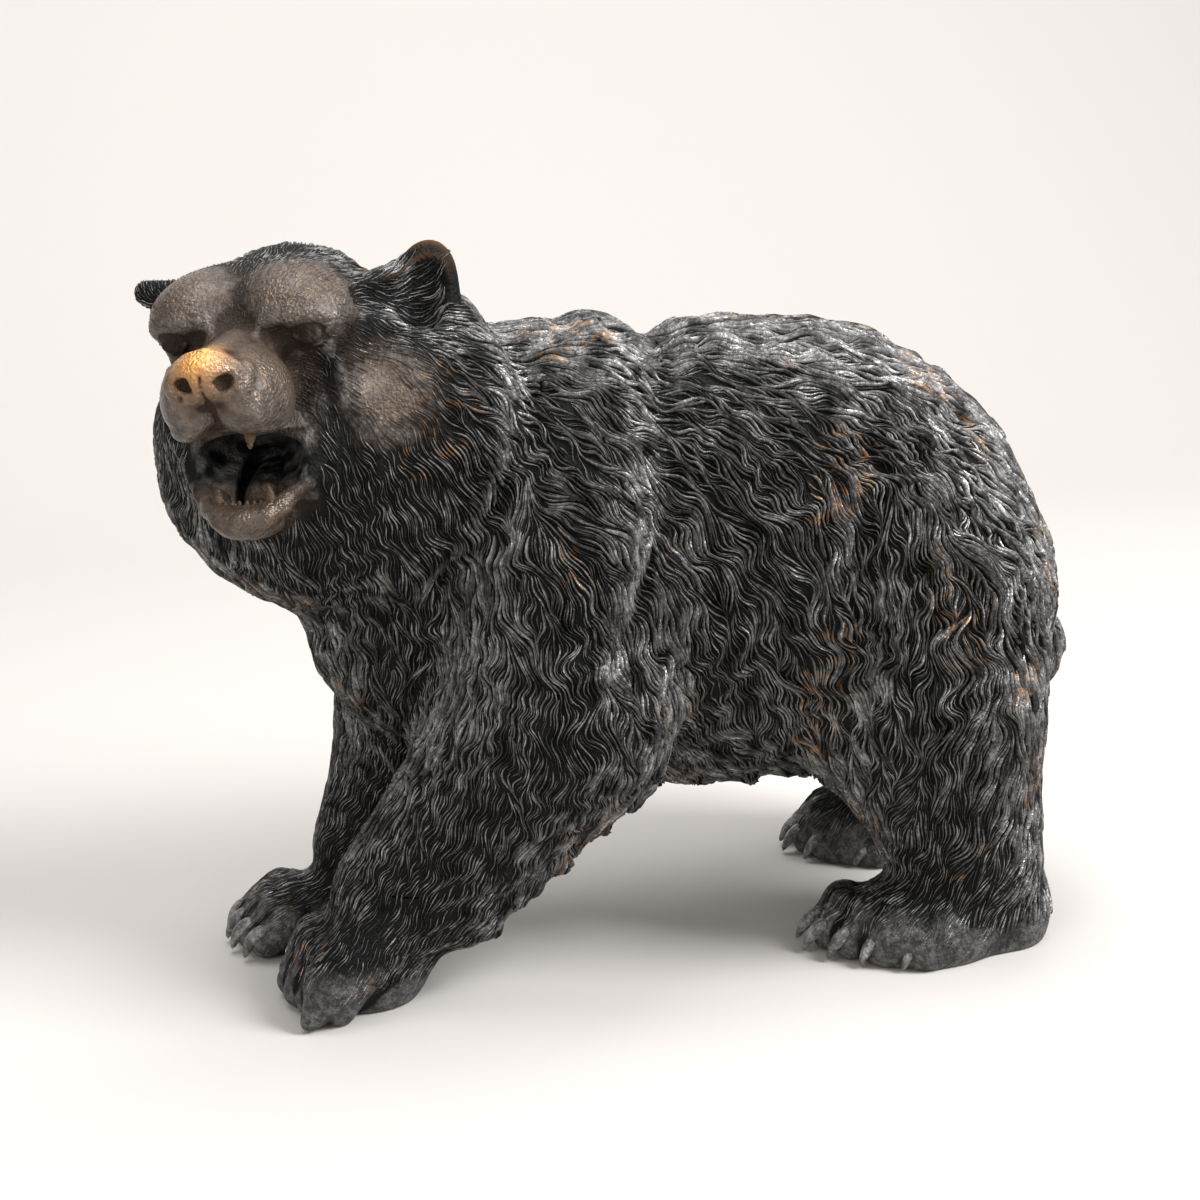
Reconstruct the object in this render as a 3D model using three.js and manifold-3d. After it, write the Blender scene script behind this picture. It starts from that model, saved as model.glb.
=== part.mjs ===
// A bronze bear, cast hollow in one piece: it walks on all fours with its head turned to its left and its
// jaws open. Units are millimetres and +Z is up. The bear faces -X, its left flank is at -Y, and the origin is
// on the ground under the middle of its bounding box.
//
// The body is a field of blobs (ellipsoids) and limbs (round cones) that melt into each other, with the
// larger locks of fur as tapered ridges on it. The field is sampled on a grid, meshed with marching tetrahedra
// and thinned by edge collapse. Claws and teeth are small curved horns joined to it, and the soles are flat.
import * as THREE from "three";
import { mergeVertices } from "three/addons/utils/BufferGeometryUtils.js";
import Module from "manifold-3d";

// Driving dimensions
const GRID = 3.4; // spacing of the sampling grid
const BODY_TRIANGLES = 8400; // left after thinning
const BLEND = 22; // how softly the great masses melt together
const SOLE_CUT = 0; // height at which the soles are cut flat
const HEAD_YAW = 62; // turn of the head from straight ahead towards the bear's left
const HEAD_PITCH = 12; // lift of the muzzle
const HEAD_ROLL = 6; // tilt of the head towards its own left shoulder
const LOCK_SPACING = 27; // between the roots of two locks of fur
const LOCK_LENGTH = 46;
const LOCK_WIDTH = 16;
const LOCK_HEIGHT = 4.5; // of a lock's tip above the body

// Small vector helpers on plain arrays
const add = (a, b, k = 1) => [a[0] + k * b[0], a[1] + k * b[1], a[2] + k * b[2]];
const sub = (a, b) => add(a, b, -1);
const dot = (a, b) => a[0] * b[0] + a[1] * b[1] + a[2] * b[2];
const cross = (a, b) => [a[1] * b[2] - a[2] * b[1], a[2] * b[0] - a[0] * b[2], a[0] * b[1] - a[1] * b[0]];
const times = (a, k) => [a[0] * k, a[1] * k, a[2] * k];
const unit = (a) => times(a, 1 / Math.hypot(...a));
const radians = THREE.MathUtils.degToRad;

// A frame has an origin and three axes: ahead, left and up
class Frame {
  constructor(origin, axes) {
    this.origin = origin;
    this.axes = axes;
  }
  turn([ahead, left, up]) {
    return add(add(times(this.axes[0], ahead), this.axes[1], left), this.axes[2], up);
  }
  place(point) {
    return add(this.origin, this.turn(point));
  }
}

// The frame of something that looks along yaw (from -X towards -Y) and pitch (upwards), in degrees
function facing(origin, yawDegrees, pitchDegrees = 0, rollDegrees = 0) {
  const [yaw, pitch, roll] = [yawDegrees, pitchDegrees, rollDegrees].map(radians);
  const ahead = [-Math.cos(yaw) * Math.cos(pitch), -Math.sin(yaw) * Math.cos(pitch), Math.sin(pitch)];
  const level = unit(cross([0, 0, 1], ahead));
  const lifted = cross(ahead, level);
  const left = add(times(level, Math.cos(roll)), lifted, Math.sin(roll));
  const up = add(times(lifted, Math.cos(roll)), level, -Math.sin(roll));
  return new Frame(origin, [ahead, left, up]);
}

const WORLD = new Frame([0, 0, 0], [[1, 0, 0], [0, 1, 0], [0, 0, 1]]);
const HEAD = facing([-165, -6, 292], HEAD_YAW, HEAD_PITCH, HEAD_ROLL);

// An ellipsoid with its radii along the frame's axes, tipped nose down by `tip` degrees
function blob(frame, centre, radii, tip = 0) {
  const middle = frame.place(centre);
  const t = radians(tip);
  const [ahead, left, up] = frame.axes;
  const a = add(times(ahead, Math.cos(t)), up, -Math.sin(t));
  const u = add(times(up, Math.cos(t)), ahead, Math.sin(t));
  const distance = (p) => {
    const d = sub(p, middle);
    const q = [dot(d, a) / radii[0], dot(d, left) / radii[1], dot(d, u) / radii[2]];
    const length = Math.hypot(...q);
    const slope = Math.hypot(q[0] / radii[0], q[1] / radii[1], q[2] / radii[2]);
    return slope < 1e-9 ? -Math.min(...radii) : (length * (length - 1)) / slope;
  };
  return { middle, reach: Math.max(...radii), distance };
}

// A round cone from one point to another, with a radius at each end
function limb(frame, from, to, fromRadius, toRadius) {
  const start = frame.place(from);
  const axis = sub(frame.place(to), start);
  const square = dot(axis, axis);
  const taper = fromRadius - toRadius;
  const slant = square - taper * taper;
  const distance = (p) => {
    const d = sub(p, start);
    const y = dot(d, axis);
    const z = y - square;
    const side = add(times(d, square), axis, -y);
    const x2 = dot(side, side);
    const k = Math.sign(taper) * taper * taper * x2;
    const beyond = Math.sign(z) * slant * z * z * square > k;
    const before = Math.sign(y) * slant * y * y * square < k;
    if (beyond) return Math.sqrt(x2 + z * z * square) / square - toRadius;
    if (before) return Math.sqrt(x2 + y * y * square) / square - fromRadius;
    return (Math.sqrt((x2 * slant) / square) + y * taper) / square - fromRadius;
  };
  const reach = Math.sqrt(square) / 2 + Math.max(fromRadius, toRadius);
  return { middle: add(start, axis, 0.5), reach, distance };
}

const joined = (shape, blend = BLEND) => ({ ...shape, blend, cut: false });
const carved = (shape, blend = 3) => ({ ...shape, blend, cut: true });

// Rump, barrel, withers, chest and the tuft of the tail
function trunk() {
  return [
    joined(blob(WORLD, [148, 0, 180], [69, 74, 98])),
    joined(blob(WORLD, [100, 0, 197], [87, 78, 111])),
    joined(blob(WORLD, [45, 0, 197], [94, 74, 115])),
    joined(blob(WORLD, [-17, 0, 218], [64, 72, 95])),
    joined(blob(WORLD, [-96, 9, 186], [55, 50, 70])),
    joined(blob(WORLD, [224, 0, 136], [14, 22, 26])),
  ];
}

// The neck swings towards the head, with the throat below
function neck() {
  return [
    joined(limb(WORLD, [-46, 0, 238], [-108, 4, 271], 66, 64)),
    joined(limb(WORLD, [-104, 4, 250], [-138, 0, 264], 62, 58)),
    joined(blob(WORLD, [-149, 4, 240], [58, 53, 50])),
  ];
}

// Skull, forehead, muzzle, nose, cheeks, jaws and the ruff behind them, in the head's own frame
function head() {
  const parts = [
    joined(blob(HEAD, [-12, 0, 10], [52, 47, 52]), 14),
    joined(blob(HEAD, [-26, 4, 28], [38, 44, 40]), 10),
    joined(limb(HEAD, [34, 0, 10], [88, 0, 3], 15, 12), 7),
    joined(limb(HEAD, [89, -8, 4], [89, 8, 4], 9, 9), 4),
    joined(blob(HEAD, [14, 0, -26], [36, 40, 28], 14), 12),
    joined(limb(HEAD, [12, 0, -48], [41, 0, -58], 22, 11), 8),
    joined(blob(HEAD, [-8, 0, -56], [28, 42, 26]), 12),
  ];
  for (const side of [-1, 1]) {
    parts.push(
      joined(blob(HEAD, [-8, 43 * side, -28], [24, 17, 36]), 12),
      joined(blob(HEAD, [16, 22 * side, 35], [32, 24, 20], -4), 9),
      joined(blob(HEAD, [11, 41 * side, -11], [25, 17, 20]), 7),
      joined(blob(HEAD, [66, 14 * side, -3], [24, 15, 17], 10), 8),
      joined(limb(HEAD, [60, 21 * side, -12], [40, 31 * side, -18], 10, 7), 5),
      carved(blob(HEAD, [49, 30 * side, 18], [9, 10, 7]), 7),
      joined(blob(HEAD, [40.5, 30 * side, 21], [4.4, 4.4, 4.4]), 1.5),
      carved(blob(HEAD, [98, 8.5 * side, 1], [7, 3.5, 3.5]), 2),
    );
  }
  return [...parts, ...nearEar(), ...farEar(), ...lowerLip(), ...mouth()];
}

// The left ear is pricked: a leaf on its own leaning axis, cupped in front
function nearEar() {
  const lean = radians(16);
  const turn = radians(12);
  const out = [0, Math.sin(lean), Math.cos(lean)];
  const side = [0, Math.cos(lean), -Math.sin(lean)];
  const ahead = add([Math.cos(turn), 0, 0], side, Math.sin(turn));
  const across = add(times(side, Math.cos(turn)), [-Math.sin(turn), 0, 0]);
  const axes = [ahead, across, out].map((axis) => HEAD.turn(axis));
  const leaf = new Frame(HEAD.place(add([-14, 66, 30], out, 12)), axes);
  return [
    joined(blob(leaf, [0, 0, 0], [8, 15, 23]), 7),
    joined(limb(HEAD, [-2, 42, 38], [-12, 58, 54], 9, 5), 5),
    carved(blob(leaf, [9, 1.5, -1], [10, 11, 17]), 2),
  ];
}

// The right ear is laid out sideways, so only its tip clears the brow
function farEar() {
  return [joined(limb(HEAD, [-10, -38, 42], [-14, -63, 50], 12, 6), 5)];
}

// The rolled lower lip is a horseshoe from one corner of the mouth to the other
const LIP_STEPS = 5; // to each side of the chin
function lipPoint(step) {
  const t = radians((84 * step) / LIP_STEPS);
  return [27 + 28 * Math.cos(t), 29 * Math.sin(t), -54 + 22 * (1 - Math.cos(t)) ** 1.2];
}
function lowerLip() {
  const parts = [];
  for (let i = -LIP_STEPS; i < LIP_STEPS; i++) {
    parts.push(joined(limb(HEAD, lipPoint(i), lipPoint(i + 1), 7, 7), 1.5));
  }
  return parts;
}

// The open mouth, the throat behind it and the tongue
function mouth() {
  return [
    carved(blob(HEAD, [42, 1, -35], [32, 24, 14], 28), 3),
    carved(limb(HEAD, [4, 0, -34], [42, 0, -47], 13, 11), 3),
    joined(limb(HEAD, [8, 0, -48], [36, 0, -55], 10, 8), 3),
  ];
}

// A leg is a chain of round cones from the trunk to the wrist or the ankle
function leg(points, radii) {
  return points.slice(1).map((to, i) => joined(limb(WORLD, points[i], to, radii[i], radii[i + 1])));
}

// Each toe: how far it lies towards the outer side, how far ahead it reaches, and its radius
const FORE_TOES = [[-24, 30, 8.5], [-12, 35, 9], [1, 36, 9.5], [14, 34, 10], [26, 27, 10.5]];
const NEAR_HIND_TOES = [[-28, 90, 8.5], [-14, 95, 9], [0, 90, 9.5], [13, 80, 10], [26, 64, 10.5]];
const FAR_HIND_TOES = [[-27, 54, 9], [-13, 78, 9.5], [1, 86, 9.5], [14, 84, 9], [26, 76, 8.5]];
const NEAR_FORE = facing([-138, -32, 0], 10);
const FAR_FORE = facing([-148, 44, 0], -4);
const NEAR_HIND = facing([188, -48, 0], 10);
const FAR_HIND = facing([216, 68, 0], -6);

// A toe rises to a knuckle and curls down to its tip
function toe(frame, sideways, ahead, radius, knuckle) {
  const root = [ahead - 34, sideways * 0.7, knuckle - 2];
  const joint = [ahead - 16, sideways * 0.9, knuckle];
  const tip = [ahead - 5, sideways, 8];
  return [
    joined(limb(frame, root, joint, radius, radius + 1), 4),
    joined(limb(frame, joint, tip, radius + 1, radius - 1), 4),
  ];
}

function forePaw(frame, side, knuckle) {
  const parts = [joined(blob(frame, [-2, 0, knuckle - 9], [32, 31, 27]), 12)];
  for (const [sideways, ahead, radius] of FORE_TOES) {
    parts.push(...toe(frame, sideways * side, ahead, radius, knuckle));
  }
  return parts;
}

function hindPaw(frame, toes, side) {
  const parts = [
    joined(blob(frame, [4, 2 * side, 13], [30, 32, 32]), 10),
    joined(blob(frame, [42, 2 * side, 12], [44, 35, 27]), 10),
  ];
  for (const [sideways, ahead, radius] of toes) parts.push(...toe(frame, sideways * side, ahead, radius, 19));
  return parts;
}

// The left leg is reached out in front and the right hind leg trails
function legs() {
  return [
    ...leg([[-38, -44, 208], [-42, -52, 142], [-118, -34, 48]], [50, 46, 33]),
    ...leg([[-70, 38, 200], [-86, 44, 122], [-120, 43, 46]], [46, 37, 25]),
    ...leg([[150, -34, 176], [146, -46, 128], [168, -54, 46]], [60, 53, 38]),
    ...leg([[152, 36, 180], [172, 48, 122], [208, 64, 46]], [60, 50, 34]),
    ...forePaw(NEAR_FORE, 1, 25),
    ...forePaw(FAR_FORE, -1, 15),
    ...hindPaw(NEAR_HIND, NEAR_HIND_TOES, 1),
    ...hindPaw(FAR_HIND, FAR_HIND_TOES, -1),
  ];
}

const SHAPES = [...trunk(), ...neck(), ...legs(), ...head()];

// Samples the field on a grid; beyond FAR from every shape the value does not matter
const FAR = 24;
function sampleField(shapes, low, high, step, under = null) {
  const counts = low.map((l, i) => Math.ceil((high[i] - l) / step) + 1);
  const [nx, ny, nz] = counts;
  const values = under ? Float32Array.from(under) : new Float32Array(nx * ny * nz).fill(FAR);
  for (const shape of shapes) {
    const reach = shape.reach + shape.blend + (shape.cut || under ? 0 : FAR);
    const first = low.map((l, i) => Math.max(Math.floor((shape.middle[i] - reach - l) / step), 0));
    const last = low.map((l, i) => Math.min(Math.ceil((shape.middle[i] + reach - l) / step), counts[i] - 1));
    for (let i = first[0]; i <= last[0]; i++) {
      for (let j = first[1]; j <= last[1]; j++) {
        for (let k = first[2]; k <= last[2]; k++) {
          const at = (i * ny + j) * nz + k;
          const p = [low[0] + i * step, low[1] + j * step, low[2] + k * step];
          values[at] = melt(values[at], shape.distance(p), shape);
        }
      }
    }
  }
  return { values, counts, low, step };
}

// Smooth union or smooth cut of one more shape into a value of the field
function melt(value, distance, { blend, cut }) {
  const other = cut ? -distance : distance;
  const overlap = Math.max(blend - Math.abs(value - other), 0) / blend;
  const round = overlap * overlap * blend * 0.25;
  return cut ? Math.max(value, other) + round : Math.min(value, other) - round;
}

// Six tetrahedra share the long diagonal of every cube of the grid
const CORNERS = [0, 1, 2, 3, 4, 5, 6, 7].map((c) => [c & 1, (c >> 1) & 1, (c >> 2) & 1]);
const TETRAHEDRA = [[0, 1, 3, 7], [0, 3, 2, 7], [0, 2, 6, 7], [0, 6, 4, 7], [0, 4, 5, 7], [0, 5, 1, 7]];

// Marching tetrahedra: a closed surface, because neighbouring cubes cut their shared faces alike
function surfaceOf({ values, counts, low, step }) {
  const [nx, ny, nz] = counts;
  const points = [];
  const triangles = [];
  const known = new Map();
  const crossing = (a, b) => {
    const [from, to] = a < b ? [a, b] : [b, a];
    const key = from * 8 + edgeCode(to - from, ny, nz);
    if (known.has(key)) return known.get(key);
    const t = Math.min(Math.max(values[from] / (values[from] - values[to]), 0.2), 0.8);
    const start = gridPoint(from, ny, nz);
    const end = gridPoint(to, ny, nz);
    points.push(low.map((l, i) => l + step * (start[i] + t * (end[i] - start[i]))));
    known.set(key, points.length - 1);
    return points.length - 1;
  };
  const corner = new Array(8);
  for (let i = 0; i + 1 < nx; i++) {
    for (let j = 0; j + 1 < ny; j++) {
      for (let k = 0; k + 1 < nz; k++) {
        let inside = 0;
        for (let c = 0; c < 8; c++) {
          corner[c] = ((i + CORNERS[c][0]) * ny + j + CORNERS[c][1]) * nz + k + CORNERS[c][2];
          if (values[corner[c]] < 0) inside++;
        }
        if (inside === 0 || inside === 8) continue;
        for (const tetrahedron of TETRAHEDRA) {
          const corners = tetrahedron.map((c) => corner[c]);
          cutTetrahedron(corners, values, crossing, triangles);
        }
      }
    }
  }
  return { points, triangles };
}

// Slides every point along the slope of the field until it lies on the surface
function settle(points, field) {
  for (let round = 0; round < 3; round++) {
    points.forEach((p, v) => {
      const { value, slope } = fieldAt(field, p);
      points[v] = add(p, slope, -value / Math.max(dot(slope, slope), 0.1));
    });
  }
}

// Value and slope of the sampled field between its grid points
function fieldAt({ values, counts, low, step }, p) {
  const [, ny, nz] = counts;
  const cell = p.map((x, i) => Math.min(Math.max(Math.floor((x - low[i]) / step), 0), counts[i] - 2));
  const f = p.map((x, i) => (x - low[i]) / step - cell[i]);
  const at = (cell[0] * ny + cell[1]) * nz + cell[2];
  let value = 0;
  const slope = [0, 0, 0];
  for (const [i, j, k] of CORNERS) {
    const v = values[at + (i * ny + j) * nz + k];
    const [x, y, z] = [i ? f[0] : 1 - f[0], j ? f[1] : 1 - f[1], k ? f[2] : 1 - f[2]];
    value += v * x * y * z;
    slope[0] += ((i ? v : -v) * y * z) / step;
    slope[1] += ((j ? v : -v) * x * z) / step;
    slope[2] += ((k ? v : -v) * x * y) / step;
  }
  return { value, slope };
}

const gridPoint = (at, ny, nz) => [Math.floor(at / (ny * nz)), Math.floor(at / nz) % ny, at % nz];

// The seven directions in which the edges of the tetrahedra run
function edgeCode(offset, ny, nz) {
  const layer = ny * nz;
  return [1, nz, nz + 1, layer, layer + 1, layer + nz, layer + nz + 1].indexOf(offset);
}

// Every tetrahedron above winds the same way, so the parity of the corner order gives the facing
function cutTetrahedron(corners, values, crossing, triangles) {
  const inner = corners.filter((c) => values[c] < 0);
  const outer = corners.filter((c) => values[c] >= 0);
  if (inner.length === 0 || outer.length === 0) return;
  const order = [...inner, ...outer].map((c) => corners.indexOf(c));
  let swaps = 0;
  for (let i = 0; i < 4; i++) swaps += order.slice(i + 1).filter((later) => order[i] > later).length;
  const flip = swaps % 2 === 1;
  const face = (a, b, c) => triangles.push(flip ? [a, c, b] : [a, b, c]);
  if (inner.length === 1) {
    face(crossing(inner[0], outer[0]), crossing(inner[0], outer[1]), crossing(inner[0], outer[2]));
  } else if (inner.length === 3) {
    face(crossing(inner[0], outer[0]), crossing(inner[1], outer[0]), crossing(inner[2], outer[0]));
  } else {
    const [a, b] = inner;
    const [c, d] = outer;
    const quad = [crossing(a, c), crossing(a, d), crossing(b, d), crossing(b, c)];
    face(quad[0], quad[1], quad[2]);
    face(quad[0], quad[2], quad[3]);
  }
}

// The piece with the most triangles; a stray bubble of the field is dropped
function largestPiece({ points, triangles }) {
  const root = points.map((_, v) => v);
  const find = (v) => {
    let at = v;
    while (root[at] !== at) {
      root[at] = root[root[at]];
      at = root[at];
    }
    return at;
  };
  for (const [a, b, c] of triangles) {
    root[find(b)] = find(a);
    root[find(c)] = find(a);
  }
  const counts = new Map();
  for (const [a] of triangles) counts.set(find(a), (counts.get(find(a)) ?? 0) + 1);
  const most = [...counts].reduce((best, entry) => (entry[1] > best[1] ? entry : best))[0];
  return { points, triangles: triangles.filter(([a]) => find(a) === most) };
}

// Thinning by edge collapse: the edge whose loss bends the surface least goes first (quadric error).
// `weight(point)` above 1 keeps more triangles where they matter.
class Thinner {
  constructor({ points, triangles }, weight) {
    this.place = Float64Array.from(points.flat());
    this.faces = Int32Array.from(triangles.flat());
    this.rings = points.map(() => []);
    this.quadrics = new Float64Array(points.length * 10);
    this.stamps = new Int32Array(points.length);
    this.marks = new Int32Array(points.length);
    this.mark = 0;
    this.sum = new Float64Array(10);
    this.spot = new Float64Array(3);
    this.left = triangles.length;
    for (let t = 0; t < triangles.length; t++) this.addFace(t, weight);
  }

  addFace(t, weight) {
    const [a, b, c] = [0, 1, 2].map((i) => this.point(this.faces[3 * t + i]));
    const normal = cross(sub(b, a), sub(c, a));
    const area = Math.hypot(...normal);
    const n = area > 0 ? times(normal, 1 / area) : [0, 0, 0];
    const [x, y, z, w] = [...n, -dot(n, a)];
    const terms = [x * x, x * y, x * z, x * w, y * y, y * z, y * w, z * z, z * w, w * w];
    const share = area * weight(a);
    for (let i = 0; i < 3; i++) {
      const v = this.faces[3 * t + i];
      this.rings[v].push(t);
      for (let j = 0; j < 10; j++) this.quadrics[10 * v + j] += share * terms[j];
    }
  }

  point(v) {
    return [this.place[3 * v], this.place[3 * v + 1], this.place[3 * v + 2]];
  }

  // The cost of merging a and b; the best place for the merged point is left in `spot`
  cost(a, b) {
    const { sum, quadrics, place, spot } = this;
    for (let j = 0; j < 10; j++) sum[j] = quadrics[10 * a + j] + quadrics[10 * b + j];
    let span = 0;
    for (let i = 0; i < 3; i++) {
      spot[i] = (place[3 * a + i] + place[3 * b + i]) / 2;
      span += (place[3 * a + i] - place[3 * b + i]) ** 2;
    }
    const c0 = sum[4] * sum[7] - sum[5] * sum[5];
    const c1 = sum[5] * sum[2] - sum[1] * sum[7];
    const c2 = sum[1] * sum[5] - sum[4] * sum[2];
    const c3 = sum[0] * sum[7] - sum[2] * sum[2];
    const c4 = sum[1] * sum[2] - sum[0] * sum[5];
    const c5 = sum[0] * sum[4] - sum[1] * sum[1];
    const det = sum[0] * c0 + sum[1] * c1 + sum[2] * c2;
    if (det > 1e-4 * (sum[0] + sum[4] + sum[7]) ** 3) {
      const x = -(c0 * sum[3] + c1 * sum[6] + c2 * sum[8]) / det;
      const y = -(c1 * sum[3] + c3 * sum[6] + c4 * sum[8]) / det;
      const z = -(c2 * sum[3] + c4 * sum[6] + c5 * sum[8]) / det;
      if ((x - spot[0]) ** 2 + (y - spot[1]) ** 2 + (z - spot[2]) ** 2 < span) {
        spot[0] = x;
        spot[1] = y;
        spot[2] = z;
      }
    }
    return this.error(spot[0], spot[1], spot[2]) + 1e-6 * span;
  }

  error(x, y, z) {
    const { sum } = this;
    const squares = sum[0] * x * x + sum[4] * y * y + sum[7] * z * z + sum[9];
    const products = sum[1] * x * y + sum[2] * x * z + sum[5] * y * z;
    return squares + 2 * (products + sum[3] * x + sum[6] * y + sum[8] * z);
  }

  neighbours(v) {
    const found = [];
    this.mark++;
    for (const t of this.rings[v]) {
      for (let i = 0; i < 3; i++) {
        const w = this.faces[3 * t + i];
        if (w === v || this.marks[w] === this.mark) continue;
        this.marks[w] = this.mark;
        found.push(w);
      }
    }
    return found;
  }

  // Merging keeps the surface closed only when a and b share just the two points across their edge
  sharesTwo(a, b) {
    const near = this.neighbours(a);
    return this.neighbours(b).filter((v) => near.includes(v)).length === 2;
  }

  // True when moving `a` to the spot would fold or flatten a triangle that does not touch `b`
  folds(a, b, spot) {
    for (const t of this.rings[a]) {
      const corners = [this.faces[3 * t], this.faces[3 * t + 1], this.faces[3 * t + 2]];
      if (corners.includes(b)) continue;
      const before = corners.map((v) => this.point(v));
      const after = corners.map((v, i) => (v === a ? spot : before[i]));
      const was = cross(sub(before[1], before[0]), sub(before[2], before[0]));
      const is = cross(sub(after[1], after[0]), sub(after[2], after[0]));
      if (dot(was, is) < 0.25 * Math.hypot(...was) * Math.hypot(...is)) return true;
      if (thinness(after, is) < Math.min(0.15, thinness(before, was))) return true;
    }
    return false;
  }

  // Rounds over all edges, because an edge refused once may be allowed after its neighbours have gone
  run(target) {
    let before = Infinity;
    while (this.left > target && this.left < before) {
      before = this.left;
      this.round(target);
    }
    return this.result();
  }

  round(target) {
    const heap = new Heap();
    const offer = (a, b) => heap.push([this.cost(a, b), a, b, this.stamps[a], this.stamps[b]]);
    this.rings.forEach((_, a) => this.neighbours(a).forEach((b) => a < b && offer(a, b)));
    for (let edge = heap.pop(); edge && this.left > target; edge = heap.pop()) {
      const [, a, b, stampA, stampB] = edge;
      if (stampA !== this.stamps[a] || stampB !== this.stamps[b] || !this.sharesTwo(a, b)) continue;
      this.cost(a, b);
      const spot = [this.spot[0], this.spot[1], this.spot[2]];
      if (this.folds(a, b, spot) || this.folds(b, a, spot)) continue;
      this.merge(a, b, spot);
      for (const v of this.neighbours(a)) offer(a, v);
    }
  }

  merge(a, b, spot) {
    this.place.set(spot, 3 * a);
    for (let j = 0; j < 10; j++) this.quadrics[10 * a + j] += this.quadrics[10 * b + j];
    const gone = this.rings[b].filter((t) => this.rings[a].includes(t));
    for (const t of gone) {
      for (let i = 0; i < 3; i++) {
        const v = this.faces[3 * t + i];
        this.rings[v] = this.rings[v].filter((u) => u !== t);
      }
      this.faces[3 * t] = -1;
      this.left--;
    }
    for (const t of this.rings[b]) {
      for (let i = 0; i < 3; i++) if (this.faces[3 * t + i] === b) this.faces[3 * t + i] = a;
      this.rings[a].push(t);
    }
    this.rings[b] = [];
    this.stamps[a]++;
    this.stamps[b]++;
  }

  result() {
    const kept = new Map();
    const points = [];
    const triangles = [];
    for (let t = 0; t < this.faces.length / 3; t++) {
      if (this.faces[3 * t] < 0) continue;
      const triangle = [];
      for (let i = 0; i < 3; i++) {
        const v = this.faces[3 * t + i];
        if (!kept.has(v)) {
          kept.set(v, points.length);
          points.push(this.point(v));
        }
        triangle.push(kept.get(v));
      }
      triangles.push(triangle);
    }
    return { points, triangles };
  }
}

// Twice a triangle's area over the square of its longest side: 0 for a sliver, 0.87 when even-sided
function thinness(corners, normal) {
  const sides = corners.map((p, i) => Math.hypot(...sub(p, corners[(i + 1) % 3])));
  return Math.hypot(...normal) / Math.max(...sides) ** 2;
}

// A binary heap of arrays, least first entry on top
class Heap {
  items = [];
  push(item) {
    const { items } = this;
    let i = items.length;
    items.push(item);
    while (i > 0) {
      const up = (i - 1) >> 1;
      if (items[up][0] <= item[0]) break;
      items[i] = items[up];
      i = up;
    }
    items[i] = item;
  }
  pop() {
    const { items } = this;
    const top = items[0];
    const item = items.pop();
    let i = 0;
    while (items.length > 0) {
      let child = 2 * i + 1;
      if (child >= items.length) break;
      if (child + 1 < items.length && items[child + 1][0] < items[child][0]) child++;
      if (items[child][0] >= item[0]) break;
      items[i] = items[child];
      i = child;
    }
    if (items.length > 0) items[i] = item;
    return top;
  }
}

// The lie of the fur: where a lock grows (left side, mm) and the way it points
const COMBED = [
  [[-80, 0, 330], [1, 0, -0.1]], // nape
  [[-20, 0, 315], [0.95, -0.1, -0.3]], // withers
  [[60, 0, 312], [0.95, -0.15, -0.25]], // back
  [[140, 0, 292], [0.85, -0.1, -0.5]], // loins
  [[-30, -55, 280], [0.75, 0, -0.6]], // side of the withers
  [[-85, -60, 270], [0.35, -0.1, -0.95]], // side of the neck
  [[-112, -65, 245], [0.4, -0.3, -0.85]], // ruff
  [[-170, -10, 205], [0.2, 0, -1]], // throat
  [[-130, -20, 165], [0.1, -0.1, -1]], // chest
  [[-30, -75, 225], [0.5, 0, -0.85]], // shoulder
  [[-40, -90, 170], [0.1, 0, -1]], // upper arm
  [[5, -80, 120], [0.55, 0, -0.85]], // elbow
  [[-100, -70, 120], [-0.55, 0, -0.8]], // top of the forearm
  [[-75, -85, 95], [-0.15, 0, -1]], // side of the forearm
  [[-125, -60, 60], [-0.3, 0, -0.95]], // wrist
  [[50, -80, 245], [0.65, 0, -0.8]], // flank
  [[50, -80, 160], [0.45, 0, -0.9]], // lower flank
  [[50, -40, 88], [0.7, -0.1, -0.6]], // belly
  [[140, -80, 205], [0.15, 0, -1]], // haunch
  [[105, -90, 140], [-0.1, 0, -1]], // thigh
  [[150, -90, 85], [-0.2, 0, -0.97]], // shin
  [[215, -30, 200], [0.5, 0, -0.87]], // rump
  [[205, -60, 90], [0.15, 0, -1]], // back of the leg
  [[238, 0, 150], [0.4, 0, -0.9]], // tail
];
const COMB_REACH = 42; // how far one mark of the comb is felt

function combed(p) {
  let way = [0.006, 0, -0.008];
  const side = p[1] <= 0 ? 1 : -1;
  for (const [at, to] of COMBED) {
    const away = sub([p[0], p[1] * side, p[2]], at);
    const pull = Math.exp(-dot(away, away) / (2 * COMB_REACH ** 2));
    way = add(way, [to[0], to[1] * side, to[2]], pull);
  }
  return unit(way);
}

// A closed horn through rings of points, each given as {at, across, rise}, that ends in a point
function horn(stations, tip, sides, start) {
  const points = [];
  const triangles = [];
  for (const { at, across, rise } of stations) {
    for (let i = 0; i < sides; i++) {
      const t = start + (2 * Math.PI * i) / sides;
      points.push(add(add(at, across, Math.cos(t)), rise, Math.sin(t)));
    }
  }
  points.push(tip);
  for (let i = 1; i + 1 < sides; i++) triangles.push([0, i + 1, i]);
  for (let s = 0; s + 1 < stations.length; s++) {
    for (let i = 0; i < sides; i++) {
      const [a, b] = [s * sides + i, s * sides + ((i + 1) % sides)];
      triangles.push([a, b, b + sides], [a, b + sides, a + sides]);
    }
  }
  const last = (stations.length - 1) * sides;
  for (let i = 0; i < sides; i++) triangles.push([last + i, last + ((i + 1) % sides), points.length - 1]);
  return outward({ points, triangles });
}

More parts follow.
